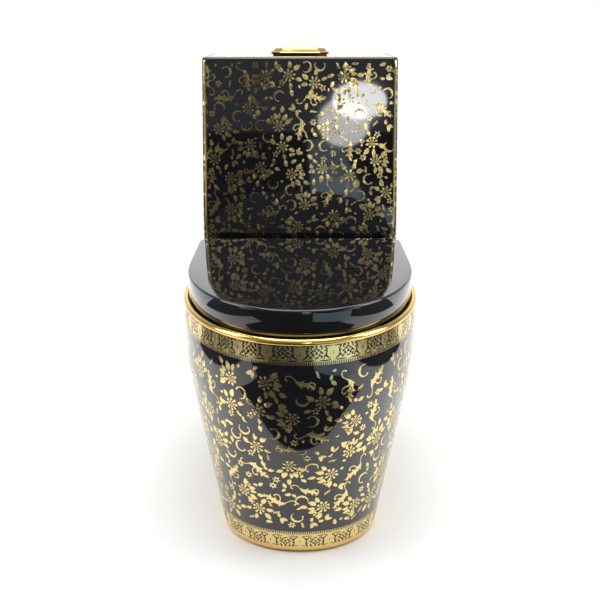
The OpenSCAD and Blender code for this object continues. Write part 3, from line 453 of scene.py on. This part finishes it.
def finish(name, colour, metallic=0.0, roughness=0.4, vary=0.06, shade=0.12, scale=60, bump=0.0,
           coat=0.0):
    """A material whose colour and gloss drift a little over the piece, with a fine surface."""
    material = bpy.data.materials.new(name)
    material.use_nodes = True
    tree = material.node_tree
    shader = tree.nodes["Principled BSDF"]
    shader.inputs["Metallic"].default_value = metallic
    shader.inputs["Coat Weight"].default_value = coat
    shader.inputs["Coat Roughness"].default_value = 0.03
    place = tree.nodes.new("ShaderNodeTexCoord")
    cloud = tree.nodes.new("ShaderNodeTexNoise")
    cloud.inputs["Scale"].default_value = scale
    cloud.inputs["Detail"].default_value = 4
    blend = tree.nodes.new("ShaderNodeMix")
    blend.data_type = "RGBA"
    blend.inputs["A"].default_value = [c * (1 - shade) for c in colour] + [1]
    blend.inputs["B"].default_value = [min(1, c * (1 + shade)) for c in colour] + [1]
    gloss = tree.nodes.new("ShaderNodeMapRange")
    gloss.inputs["To Min"].default_value = max(0.01, roughness - vary)
    gloss.inputs["To Max"].default_value = roughness + vary
    tree.links.new(place.outputs["Object"], cloud.inputs["Vector"])
    tree.links.new(cloud.outputs["Fac"], blend.inputs["Factor"])
    tree.links.new(blend.outputs["Result"], shader.inputs["Base Color"])
    tree.links.new(cloud.outputs["Fac"], gloss.inputs["Value"])
    tree.links.new(gloss.outputs["Result"], shader.inputs["Roughness"])
    if bump:
        grain = tree.nodes.new("ShaderNodeTexNoise")
        grain.inputs["Scale"].default_value = scale * 6
        relief = tree.nodes.new("ShaderNodeBump")
        relief.inputs["Strength"].default_value = bump
        relief.inputs["Distance"].default_value = 0.0004
        tree.links.new(place.outputs["Object"], grain.inputs["Vector"])
        tree.links.new(grain.outputs["Fac"], relief.inputs["Height"])
        tree.links.new(relief.outputs["Normal"], shader.inputs["Normal"])
    return material


black_glaze = finish("black_glaze", (0.006, 0.006, 0.008), roughness=0.045, vary=0.02, shade=0.3,
                     scale=14, bump=0.012, coat=0.6)
gold_lustre = finish("gold_lustre", (0.90, 0.60, 0.18), metallic=1, roughness=0.14, vary=0.05,
                     shade=0.1, scale=45, bump=0.03)
for material in (black_glaze, gold_lustre):
    casting.data.materials.append(material)
for face in casting.data.polygons:  # the rim's bead, the foot's edge and the cistern's edge are gilded
    x, y, z = face.center * 1000
    outer = face.normal.x ** 2 + face.normal.y ** 2 > 0.0004
    mouth = (x / (BOWL_HALF + 16)) ** 2 + (min(y - BOWL_MID, 0) / (BOWL_MID - FRONT - 30)) ** 2 < 1
    rim_bead = BEAD_LOW - 0.3 < z < BEAD_MID + BEAD and not mouth and y < WALL - 5 and \
        (y < TANK_FRONT - 8 or abs(x) > 184)
    foot_line = z < 11.5 and y < WALL - 5 and (face.normal.z > -0.9) and \
        Vector((face.normal.x, face.normal.y)).dot(Vector((x, y + 60))) > 0
    cistern_edge = z > TOP - 0.7
    face.material_index = 1 if outer and (rim_bead or foot_line) or cistern_edge else 0
soften(casting)
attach(casting, "body")
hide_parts(*[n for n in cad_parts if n.startswith("ceramic_")])

# ------------------------------------------------------------------ fired gold flowers and borders
# Liquid-gold film fired on the glaze: flowers, leaves and scrolls all over the skirt and cistern, a
# leaf border under the rim and another over the foot, each with a row of small teeth beside it.
FILM = 0.14


class Wall:
    """A wall unrolled: points at every 2 mm of height and in even steps round it."""
    steps = 2400
    rise = 2

    def __init__(self, outline, low, high):
        self.low, self.heights = low, arc(int((high - low) / self.rise), low, high)
        rows, self.length = [], []
        for z in self.heights:
            line = np.array(outline(z) + outline(z)[:1], float)
            along = np.concatenate([[0], np.cumsum(np.linalg.norm(np.diff(line, axis=0), axis=1))])
            at = np.linspace(0, along[-1], self.steps, endpoint=False)
            rows.append(np.stack([np.interp(at, along, line[:, 0]),
                                  np.interp(at, along, line[:, 1])], 1))
            self.length.append(along[-1])
        self.rows, self.length = np.array(rows), np.array(self.length)

    def around(self, z):
        """The way all round at a height (mm)."""
        return float(np.interp(z, self.heights, self.length))

    def at(self, share, z):
        """Points on the wall, by share of the way round from the front's middle and by height."""
        level = np.clip((z - self.low) / self.rise, 0, len(self.heights) - 1.001)
        i = level.astype(int)
        f = (level - i)[:, None]
        turn = (share % 1) * self.steps
        k = turn.astype(int) % self.steps
        g = (turn - turn.astype(int))[:, None]
        k2 = (k + 1) % self.steps
        low = self.rows[i, k] * (1 - g) + self.rows[i, k2] * g
        high = self.rows[i + 1, k] * (1 - g) + self.rows[i + 1, k2] * g
        return np.concatenate([low * (1 - f) + high * f, z[:, None]], 1)

    def press(self, share, z, flat, lift):
        """Lays flat points (mm) round a place on the wall, lift above it."""
        up = z + flat[:, 1]
        part = share + flat[:, 0] / np.interp(up, self.heights, self.length)
        spot = self.at(part, up)
        side = self.at(part + 0.0008, up) - self.at(part - 0.0008, up)
        slope = self.at(part, up + 2) - self.at(part, up - 2)
        out = np.cross(side, slope)
        out /= np.linalg.norm(out, axis=1)[:, None]
        return spot + out * lift


def blade(bm, path, widths, between=2):
    """A flat strip along a path of (x, y) points, as wide as it says at each point (mm)."""
    line = smooth_rows([(x, y, w) for (x, y), w in zip(path, widths)], between)
    n = len(line) - 1
    for v in bmesh.ops.create_grid(bm, x_segments=n, y_segments=1, size=1)["verts"]:
        i = round((v.co.x + 1) / 2 * n)
        x, y, w = line[i]
        x0, y0, _ = line[max(i - 1, 0)]
        x1, y1, _ = line[min(i + 1, n)]
        length = max(sqrt((x1 - x0) ** 2 + (y1 - y0) ** 2), 1e-6)
        half = max(w, 0.12) / 2 * v.co.y
        v.co = (x - (y1 - y0) / length * half, y + (x1 - x0) / length * half, 0)


def leaf(bm, x, y, angle, length, width, bend=0.08):
    """A pointed leaf from its foot at (x, y)."""
    c, s = cos(angle), sin(angle)
    spine = [(0, 0), (0.22, bend * 0.6), (0.5, bend), (0.78, bend * 0.6), (1, 0)]
    path = [(x + length * (a * c - b * s), y + length * (a * s + b * c)) for a, b in spine]
    blade(bm, path, [width * k for k in (0.12, 0.86, 1, 0.66, 0.05)], 2 if length > 12.2 else 1)


def curl(bm, x, y, angle, size, turns, width, side=1):
    """A tendril that winds in to a round bud."""
    n = 12
    path, a = [(x, y)], angle
    for i in range(n):
        a += side * turns * 2 * pi / n * (0.45 + 1.1 * i / n)
        step = size / n * (1.25 - 0.75 * i / n)
        path.append((path[-1][0] + step * cos(a), path[-1][1] + step * sin(a)))
    widths = [width * (0.5 + 0.5 * min(1, i / 3)) for i in range(n - 1)] + [width * 1.9, width * 0.9]
    blade(bm, path, widths, 1)


def floret(bm, x, y, petals, inner, length, width, turn=0.0):
    """Petals in a ring, each starting a little way out from the middle."""
    for k in range(petals):
        a = turn + 2 * pi * k / petals
        leaf(bm, x + inner * cos(a), y + inner * sin(a), a, length, width, 0.0)


def peony(bm, way=1):
    """A full flower in two rings of petals, with its leaves and a side flower; way mirrors it."""
    ring = [(1.9 * cos(a), 1.9 * sin(a)) for a in arc(8, 0, 2 * pi)]
    blade(bm, ring, [0.7] * 9)
    floret(bm, 0, 0, 7, 3.0, 3.6, 2.5, 0.3)
    for k in range(8):
        a = 2 * pi * k / 8 + 0.2
        leaf(bm, 6.6 * cos(a), 6.6 * sin(a), a + 0.2 * way, 4.6 + (k % 3) * 0.8, 4.4, 0.1 * way)
    floret(bm, 13.5 * way, -11, 5, 1.5, 5.2, 3.2, 0.5)
    leaf(bm, -10.5, 8, 2.35, 14, 8.6, 0.1 * way)
    leaf(bm, -13, -2, 3.2, 12.5, 7.2, -0.1 * way)
    leaf(bm, -6, -11.5, 4.1, 13.5, 8, 0.1 * way)
    leaf(bm, 3.5 * way, 12.5, 1.3 if way > 0 else 1.8, 12, 7, 0.08)
    leaf(bm, 13 * way, 3, 0.25 if way > 0 else 2.9, 11.5, 6, 0.1)
    leaf(bm, 24 * way, 8, 0.3 if way > 0 else 2.84, 12.5, 7, -0.1)


def lobed(bm, spine, widths):
    """A long leaf with pointed lobes along both its edges."""
    blade(bm, spine, widths)
    for i in range(2, len(spine) - 1, 2):
        (x0, y0), (x1, y1) = spine[i], spine[i + 1]
        a = atan2(y1 - y0, x1 - x0)
        for side in (1, -1):
            leaf(bm, x0 + side * 0.8 * sin(a), y0 - side * 0.8 * cos(a), a - side * 0.85,
                 widths[i] * 1.3, widths[i] * 0.5, 0.14 * side)


def acanthus(bm):
    lobed(bm, [(-17, 1), (-13, 4), (-9, 5.4), (-4, 5.2), (0.5, 3.4), (5, 1), (9, -2), (13.5, -4.4),
               (18, -5.4), (24, -4)], [0.8, 2.6, 6.4, 6.2, 7.4, 6.4, 6.6, 4.8, 3.4, 0.4])
    curl(bm, -17, 1, 4.0, 25, 0.68, 1.7, -1)
    curl(bm, -5, 0, 4.3, 24, 0.62, 1.9, 1)


def crescent(bm):
    arm = [(9.5 * cos(a), 9.5 * sin(a)) for a in arc(8, radians(140), radians(372))]
    blade(bm, arm, [0.5, 1.5, 2.4, 3.4, 4.0, 3.2, 2.2, 1.5, 1.0])
    leaf(bm, 9.6, 0.5, 1.9, 4.6, 3.2, 0.2)
    leaf(bm, -2, -9, 2.2, 6, 2.8, 0.2)


def scroll(bm):
    lobed(bm, [(-1, -17), (1.5, -12), (3, -7), (2.5, -2), (1, 3), (0.5, 8), (2, 13), (5, 17)],
          [0.8, 2.8, 6.2, 5.6, 6.4, 4.8, 3.2, 0.4])
    curl(bm, -1, -17, -2.2, 23, 0.72, 1.7, 1)
    curl(bm, -1, 4, 2.6, 20, 0.64, 1.6, -1)


def spray(bm):
    leaf(bm, 0, 0, 0.2, 12, 6.6, 0.1)
    leaf(bm, -1, 2, 1.15, 10.5, 6, -0.1)
    leaf(bm, -2, -1, 3.3, 8, 4.2, 0.1)
    curl(bm, -2, -2, 4.2, 12, 0.5, 1.2, -1)


def pair(bm):
    leaf(bm, 0.6, -1, 0.5, 10.5, 6.4, 0.1)
    leaf(bm, -1, 0.5, 2.6, 8.5, 5.2, 0.1)


def dashes(bm):
    for k in range(3):
        leaf(bm, -5 + 3.6 * k, -2.5 + k, 0.95, 6.5, 2.2, 0.1)


ORNAMENTS = {  # name: how it is drawn, and circles (x, y, radius) that it takes up
    "peony": (peony, ((-4, 0, 15), (10, -3, 13), (27, 8, 8), (-14, 8, 10))),
    "peony_left": (lambda bm: peony(bm, -1), ((-6, 0, 16), (-10, -8, 12), (-27, 8, 8), (2, 8, 11))),
    "acanthus": (acanthus, ((-20, 8, 10), (-6, 4, 11), (4, -8, 12), (18, -8, 8))),
    "scroll": (scroll, ((0, -16, 11), (2, -2, 9), (-2, 14, 10))),
    "crescent": (crescent, ((0, -2, 11.5),)),
    "spray": (spray, ((3, 2, 9.5),)),
    "floret": (lambda bm: floret(bm, 0, 0, 6, 1.4, 5.2, 3.0), ((0, 0, 7),)),
    "pair": (pair, ((1, 2, 8),)),
    "lone": (lambda bm: leaf(bm, -6, 0, 0, 12, 6.4, 0.1), ((0, 0, 6),)),
    "dashes": (dashes, ((0, 0, 6),)),
    "bud": (lambda bm: leaf(bm, -3.2, 0, 0, 6.4, 4.2, 0.1), ((0, 0, 4),)),
}
SOWING = [  # ornaments by turns, tries, room left round each (mm)
    (("peony", "peony_left", "acanthus"), 2600, 0.0), (("scroll", "peony", "crescent"), 2200, -1.0),
    (("crescent", "spray"), 2200, -0.6), (("spray", "floret", "pair"), 2600, -0.6),
    (("lone", "pair", "dashes"), 2600, -0.4), (("bud", "dashes"), 2600, 0.0),
]


def sow(wall, low, high, edge, seed):
    """Places for ornaments between two heights, as close as they go, clear of the rear edge."""
    dice = random.Random(seed)
    middle = wall.around((low + high) / 2)
    spots, places = np.zeros((0, 3)), []
    for kinds, count, room in SOWING:
        for attempt in range(count):
            kind = kinds[attempt % len(kinds)]
            s = dice.uniform(-edge, edge) * middle
            z = dice.uniform(low, high)
            turn = dice.choice((0, 0.25, 0.5, 0.75)) * 2 * pi + dice.uniform(-0.55, 0.55)
            c, n = cos(turn), sin(turn)
            mine = np.array([(s + x * c - y * n, z + x * n + y * c, r)
                             for x, y, r in ORNAMENTS[kind][1]])
            if (mine[:, 1] - mine[:, 2] < low - 2).any() or (mine[:, 1] + mine[:, 2] > high + 2).any():
                continue
            if (abs(mine[:, 0]) > edge * middle).any():
                continue
            if len(spots):
                gap = np.hypot(spots[:, None, 0] - mine[None, :, 0],
                               spots[:, None, 1] - mine[None, :, 1])
                if (gap < spots[:, None, 2] + mine[None, :, 2] + room).any():
                    continue
            spots = np.concatenate([spots, mine])
            places.append((kind, s / middle, z, turn))
    return places


def drawn(name, draw):
    """An ornament drawn once, flat, round its own middle."""
    bm = bmesh.new()
    draw(bm)
    mesh = bpy.data.meshes.new(name)
    bm.to_mesh(mesh)
    bm.free()
    return mesh


def fixed(made, body="body"):
    """Smooths a piece and names the body that carries it."""
    soften(made, 40)
    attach(made, body)
    return made


def gilded(name, wall, places, material, lift=0.1):
    """One piece of film: each drawing copied, turned, laid on the wall and given its thickness."""
    bm = bmesh.new()
    for kind, share, z, turn in places:
        start = len(bm.verts)
        bm.from_mesh(drawings[kind])
        bm.verts.ensure_lookup_table()
        fresh = bm.verts[start:]
        flat = np.array([v.co for v in fresh])
        c, n = cos(turn), sin(turn)
        turned = np.stack([flat[:, 0] * c - flat[:, 1] * n, flat[:, 0] * n + flat[:, 1] * c], 1)
        for v, point in zip(fresh, wall.press(share, z, turned, lift) / 1000):
            v.co = point
    bmesh.ops.solidify(bm, geom=bm.faces[:], thickness=FILM / 1000)
    return fixed(piece(name, bm, material))


def band(name, wall, low, high, edge, material, lift=0.1):
    """A plain strip of film between two heights."""
    bm = bmesh.new()
    grid = bmesh.ops.create_grid(bm, x_segments=420, y_segments=max(1, int((high - low) / 4)),
                                 size=1)["verts"]
    share = np.array([v.co.x * edge for v in grid])
    flat = np.array([(0, low + (high - low) * (v.co.y + 1) / 2) for v in grid])
    for v, point in zip(grid, wall.press(share, 0, flat, lift) / 1000):
        v.co = point
    bmesh.ops.solidify(bm, geom=bm.faces[:], thickness=FILM / 1000)
    return fixed(piece(name, bm, material))


def teeth(bm):
    """A fine line with short teeth hanging from it, 42 mm of it."""
    blade(bm, [(-21 + 7 * k, 0) for k in range(7)], [0.8] * 7)
    for k in range(14):
        x = -19.5 + 3 * k
        blade(bm, [(x, -0.2), (x, -3), (x, -5.6)], [1.2, 1.25, 0.9], 1)


def leaf_gaps(bm):
    """The dark lines and specks between the border's leaves, 48 mm of it."""
    for side in (1, -1):
        blade(bm, [(side * 13.5, 11), (side * 10.4, 8), (side * 9.2, 3), (side * 10.6, -2), (side * 8, -6),
                   (side * 3.6, -9)], [1.2, 2.2, 1.6, 2.4, 2.2, 0.8])
        blade(bm, [(side * 12.6, 10.2), (side * 8, 10.8), (side * 2, 9.8)], [0.9, 1.3, 0.7])
        blade(bm, [(side * 10.6, -2), (side * 13.4, -5.4), (side * 14, -9.4)], [1.9, 1.8, 0.8])
        blade(bm, [(side * 3.6, -10.2), (side * 11, -10.9), (side * 20, -10.3)], [0.8, 1.5, 0.8])
        for x, y, a in ((15.4, 9, 0.6), (19.4, 9.4, 2.4), (23, 8.4, 1.2), (16.6, 5.4, 1.7),
                        (20.6, 5.6, 0.5), (13.4, 3.4, 2.9), (17.2, 2, 0.8), (22.6, 2.6, 2.2),
                        (14.6, -0.6, 0.9), (19.4, -0.8, 2.5), (23, -1.8, 1.4), (16.4, -4.2, 0.5),
                        (20.4, -4.6, 1.7), (23.2, -7, 0.3), (17.2, -7.8, 2.0)):
            leaf(bm, side * x, y, a if side > 0 else pi - a, 4.4, 2.0, 0.15)
    leaf(bm, 0, 3.5, -pi / 2, 7, 0.9, 0)


def around(kind, wall, z, turn, edge, pitch):
    """Places for one drawing at even steps round a wall."""
    count = 2 * int(edge * wall.around(z) / pitch) + 1
    return [(kind, pitch / wall.around(z) * (k - count // 2), z, turn) for k in range(count)]


gold_film = finish("gold_film", (0.94, 0.70, 0.31), metallic=1, roughness=0.23, vary=0.07, shade=0.16,
                   scale=160, bump=0.05)
line_glaze = finish("line_glaze", (0.01, 0.01, 0.01), roughness=0.12, vary=0.03, scale=90)
drawings = {kind: drawn(kind, draw) for kind, (draw, _) in ORNAMENTS.items()}
drawings["teeth"] = drawn("teeth", teeth)
drawings["leaf_gaps"] = drawn("leaf_gaps", leaf_gaps)
skirt_wall = Wall(lambda z: pan_outline(z, BEAD_OUT), 12, BEAD_LOW)
tank_wall = Wall(lambda z: tank_outline(z, 0, max(10, 20 - (z - RIM) / 6)), RIM + 8, TOP - 6)
skirt_edge = 0.5 - (PAN_HALF - 20) / skirt_wall.around(200)
tank_edge = 0.5 - 190 / tank_wall.around(580)
gilded("gold_flowers_skirt", skirt_wall, sow(skirt_wall, 54, 350, skirt_edge, 7), gold_film)
gilded("gold_flowers_cistern", tank_wall, sow(tank_wall, RIM + 14, TOP - 7, tank_edge, 11), gold_film)

BORDER = BEAD_LOW - 12
BORDER_HALF = 11.5
FOOT_LOW, FOOT_MID, FOOT_HIGH = 13, 26.5, 40
LEAF_PITCH, TEETH_PITCH = 48, 42
band("gold_border_upper", skirt_wall, BORDER - BORDER_HALF, BORDER + BORDER_HALF, skirt_edge, gold_film)
band("gold_border_lower", skirt_wall, FOOT_LOW, FOOT_HIGH, skirt_edge, gold_film)
gilded("border_lines_upper", skirt_wall,
       around("leaf_gaps", skirt_wall, BORDER, 0, skirt_edge, LEAF_PITCH), line_glaze, 0.2)
gilded("border_lines_lower", skirt_wall,
       around("leaf_gaps", skirt_wall, FOOT_MID, pi, skirt_edge, LEAF_PITCH), line_glaze, 0.2)
gilded("gold_comb_upper", skirt_wall,
       around("teeth", skirt_wall, BORDER - 12.4, 0, skirt_edge, TEETH_PITCH), gold_film)
gilded("gold_comb_lower", skirt_wall,
       around("teeth", skirt_wall, FOOT_HIGH + 1, pi, skirt_edge, TEETH_PITCH), gold_film)

# Thin gold lines down the cistern's two front corners.
drawings["corner_line"] = drawn("corner_line", lambda bm: blade(
    bm, [(0, z) for z in arc(12, RIM + 16, TOP - 7)], [3.4] * 13))
corner = (178 - 12 + 9.4) / tank_wall.around(580)
gilded("gold_corner_lines", tank_wall, [("corner_line", corner, 0, 0), ("corner_line", -corner, 0, 0)],
       gold_lustre, 0.24)
for mesh in drawings.values():
    bpy.data.meshes.remove(mesh)

# ------------------------------------------------------------------ seat lid
# A wrap-over lid in one piece of compression-moulded urea, polished black, with a flat top, a crisp
# edge and a wall that comes down to just over the rim. Two knuckles hang from it at the hinge.
lid_low, lid_high = (corner * 1000 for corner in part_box("seat_lid"))
LID_HALF, LID_FRONT, LID_BACK = lid_high.x, lid_low.y, lid_high.y
LID_LOW, LID_TOP = RIM + 5, RIM + 45
HINGE_Y, HINGE_Z = LID_BACK - 20, RIM + 23
KNUCKLE, PIN_BORE = 10, 7.02
SEAT_WIDEST = FRONT + 281


def lid_outline(inset):
    return d_outline(LID_HALF - inset, LID_FRONT + inset, SEAT_WIDEST, LID_HALF - inset,
                     LID_BACK - inset, max(22 - inset, 4), 192)


def lid_edge(inset):
    """The wall's lower edge, which rises to clear the hinge at the back."""
    rise = [min(max((y - HINGE_Y + 26) / 14, 0), 1) for _, y in lid_outline(inset)]
    return [(x, y, LID_LOW + 10 * t * t * (3 - 2 * t)) for (x, y), t in zip(lid_outline(inset), rise)]


def knuckle(x0, x1, y, z, radius, n=48):
    """A round bar along X from x0 to x1."""
    turn = arc(n, 0, 2 * pi)[:-1]
    return lofted([[(x, y + radius * cos(a), z + radius * sin(a)) for a in turn] for x in (x0, x1)])


lid_rings = [at_height(lid_outline(12), LID_TOP - 5), at_height(lid_outline(7.5), LID_TOP - 5.6),
             at_height(lid_outline(5.4), LID_TOP - 7.6), at_height(lid_outline(5), LID_TOP - 10),
             lid_edge(5), lid_edge(4.2), lid_edge(0.6)]
lid_rings += [[(x, y, z + 0.8) for x, y, z in lid_edge(0)]]
lid_rings += [at_height(lid_outline(3 - 3 * cos(a)), LID_TOP - 3 + 3 * sin(a))
              for a in arc(6, 0, pi / 2)]
lid_rings += [at_height(lid_outline(3 + 132 * s), LID_TOP + 2 * (1 - (1 - s) ** 2))
              for s in arc(6, 0, 1)[1:]]
seat_lid = piece("seat_lid_shell", lofted(lid_rings))
for side in (1, -1):
    x0, x1 = sorted((side * 48, side * 110))
    shape_with(seat_lid, "DIFFERENCE",
               block(x0, x1, LID_BACK - 6, LID_BACK + 2, LID_LOW - 5, LID_TOP - 5))
    x0, x1 = sorted((side * 85, side * 107))
    shape_with(seat_lid, "UNION", knuckle(x0, x1, HINGE_Y, HINGE_Z, KNUCKLE),
               block(x0, x1, HINGE_Y - 6, HINGE_Y + 6, HINGE_Z, LID_TOP - 3))
    shape_with(seat_lid, "DIFFERENCE",
               knuckle(*sorted((side * 84, side * 111)), HINGE_Y, HINGE_Z, PIN_BORE))
lid_gloss = finish("black_lid", (0.007, 0.007, 0.008), roughness=0.035, vary=0.015, shade=0.25,
                   scale=10, coat=0.5, bump=0.006)
seat_lid.data.materials.append(lid_gloss)
fixed(seat_lid, "lid")
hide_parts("seat_lid")

# ------------------------------------------------------------------ seat ring
# The ring under the lid, moulded in the same black urea, rounded where it is sat on.
def ring_outline(inset):
    return d_outline(LID_HALF - 7 - inset, LID_FRONT + 7 + inset, SEAT_WIDEST, LID_HALF - 9 - inset,
                     HINGE_Y - 14 - inset, 34, 192)


def ring_mouth(grow):
    """As many points as the outline, each in the same direction from the middle."""
    middle = -73
    half, front, back = 106 + grow, -268 - grow, 16 + grow
    angles = [atan2(x / half, (middle - y) / (middle - front if y < middle else back - middle))
              for x, y in ring_outline(0)]
    return [(half * sin(a), middle - (middle - front if cos(a) > 0 else back - middle) * cos(a))
            for a in angles]


RING_ROWS = [  # inset of the outside, height over the lid's lower edge
    (2, 0), (0.5, 1), (0, 3), (0, 13), (0.6, 15.6), (2, 18), (4.2, 20), (7, 21.2), (12, 21.8), (20, 22)]
MOUTH_ROWS = [  # how far the opening is grown, height over the lid's lower edge
    (20, 20.8), (14, 19.4), (9, 17.5), (5, 14.6), (2, 11), (0.6, 8), (0, 5), (1, 1.6), (4, 0)]
seat_ring = piece("seat_ring_moulding", lofted(
    [at_height(ring_outline(i), LID_LOW + z) for i, z in RING_ROWS]
    + [at_height(ring_mouth(g), LID_LOW + z) for g, z in MOUTH_ROWS], closed=True))
for side in (1, -1):
    x0, x1 = sorted((side * 51, side * 67))
    shape_with(seat_ring, "UNION", knuckle(x0, x1, HINGE_Y, HINGE_Z, KNUCKLE),
               block(x0, x1, HINGE_Y - 26, HINGE_Y, HINGE_Z - 10, HINGE_Z + 2))
    shape_with(seat_ring, "DIFFERENCE",
               knuckle(*sorted((side * 48, side * 68)), HINGE_Y, HINGE_Z, PIN_BORE))
seat_ring.data.materials.append(lid_gloss)
fixed(seat_ring, "ring")
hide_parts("seat_ring")

# ------------------------------------------------------------------ button springs
# Two small coil springs of plated wire lift the halves of the flush button; each stands round its
# push rod, on the web inside the threaded sleeve.
COIL_RADIUS, WIRE_RADIUS, COIL_TURNS, TRAVEL = 4.5, 0.45, 6.5, 6
spring_finish = finish("spring_wire", (0.66, 0.66, 0.68), metallic=1, roughness=0.28, vary=0.08, scale=300)


def coil(x, y, z0, z1, radius, wire, turns, n=8):
    """Wire wound round an upright line, its ends ground flat by a closing half turn."""
    rings, steps = [], int(turns * 20)
    for i in range(steps + 1):
        a = 2 * pi * turns * i / steps
        rise = min(1, max(0, (i / steps * turns - 0.75) / (turns - 1.5)))
        z = z0 + wire + (z1 - z0 - 2 * wire) * rise
        rings.append([(x + (radius + wire * cos(t)) * cos(a), y + (radius + wire * cos(t)) * sin(a),
                       z + wire * sin(t)) for t in arc(n, 0, 2 * pi)[:-1]])
    return lofted(rings)


for name, joint in (("full", "full_press"), ("half", "half_press")):
    low, high = (corner * 1000 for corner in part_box(f"button_spring_{name}"))
    middle = (low + high) / 2
    spring = piece(f"coil_spring_{name}", coil(middle.x, middle.y, low.z, high.z, COIL_RADIUS,
                                               WIRE_RADIUS, COIL_TURNS), spring_finish)
    fixed(spring, "cover")
    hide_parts(f"button_spring_{name}")
    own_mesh(spring)

# ------------------------------------------------------------------ cover, button, hinges and fittings
# The slab over the cistern is the casting's own glaze. The octagonal flush button, hinge posts and
# floor caps are gold-plated. The flush and fill valves are moulded plastic with rubber seals.
FINISHES = {
    "black_glaze": black_glaze,
    "gold_plate": finish("gold_plate", (0.90, 0.66, 0.25), metallic=1, roughness=0.12, vary=0.04,
                         shade=0.06, scale=50),
    "gold_metal": finish("gold_metal", (0.86, 0.63, 0.25), metallic=1, roughness=0.16, vary=0.05,
                         shade=0.06, scale=50),
    "steel": finish("steel", (0.62, 0.62, 0.64), metallic=1, roughness=0.3, vary=0.08, scale=180,
                    bump=0.05),
    "black_rubber": finish("black_rubber", (0.022, 0.022, 0.024), roughness=0.7, vary=0.1, scale=220,
                           bump=0.2),
    "grey_rubber": finish("grey_rubber", (0.38, 0.38, 0.4), roughness=0.62, vary=0.1, scale=220,
                          bump=0.15),
    "red_rubber": finish("red_rubber", (0.52, 0.09, 0.06), roughness=0.5, vary=0.08, scale=200, bump=0.1),
    "white_plastic": finish("white_plastic", (0.82, 0.83, 0.83), roughness=0.4, vary=0.07, shade=0.03,
                            scale=90, bump=0.08),
    "clear_plastic": finish("clear_plastic", (0.72, 0.8, 0.84), roughness=0.2, vary=0.05, shade=0.03,
                            scale=60),
    "blue_plastic": finish("blue_plastic", (0.07, 0.2, 0.5), roughness=0.38, vary=0.07, shade=0.06,
                           scale=90, bump=0.08),
    "black_plastic": finish("black_plastic", (0.035, 0.035, 0.038), roughness=0.42, vary=0.08, scale=120,
                            bump=0.1),
}
clear = FINISHES["clear_plastic"].node_tree.nodes["Principled BSDF"]
clear.inputs["Transmission Weight"].default_value = 0.55
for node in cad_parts.values():
    for slot in node.material_slots:
        kind = slot.material.name.split(".")[0]
        if kind in FINISHES and slot.material not in FINISHES.values():
            slot.material = FINISHES[kind]
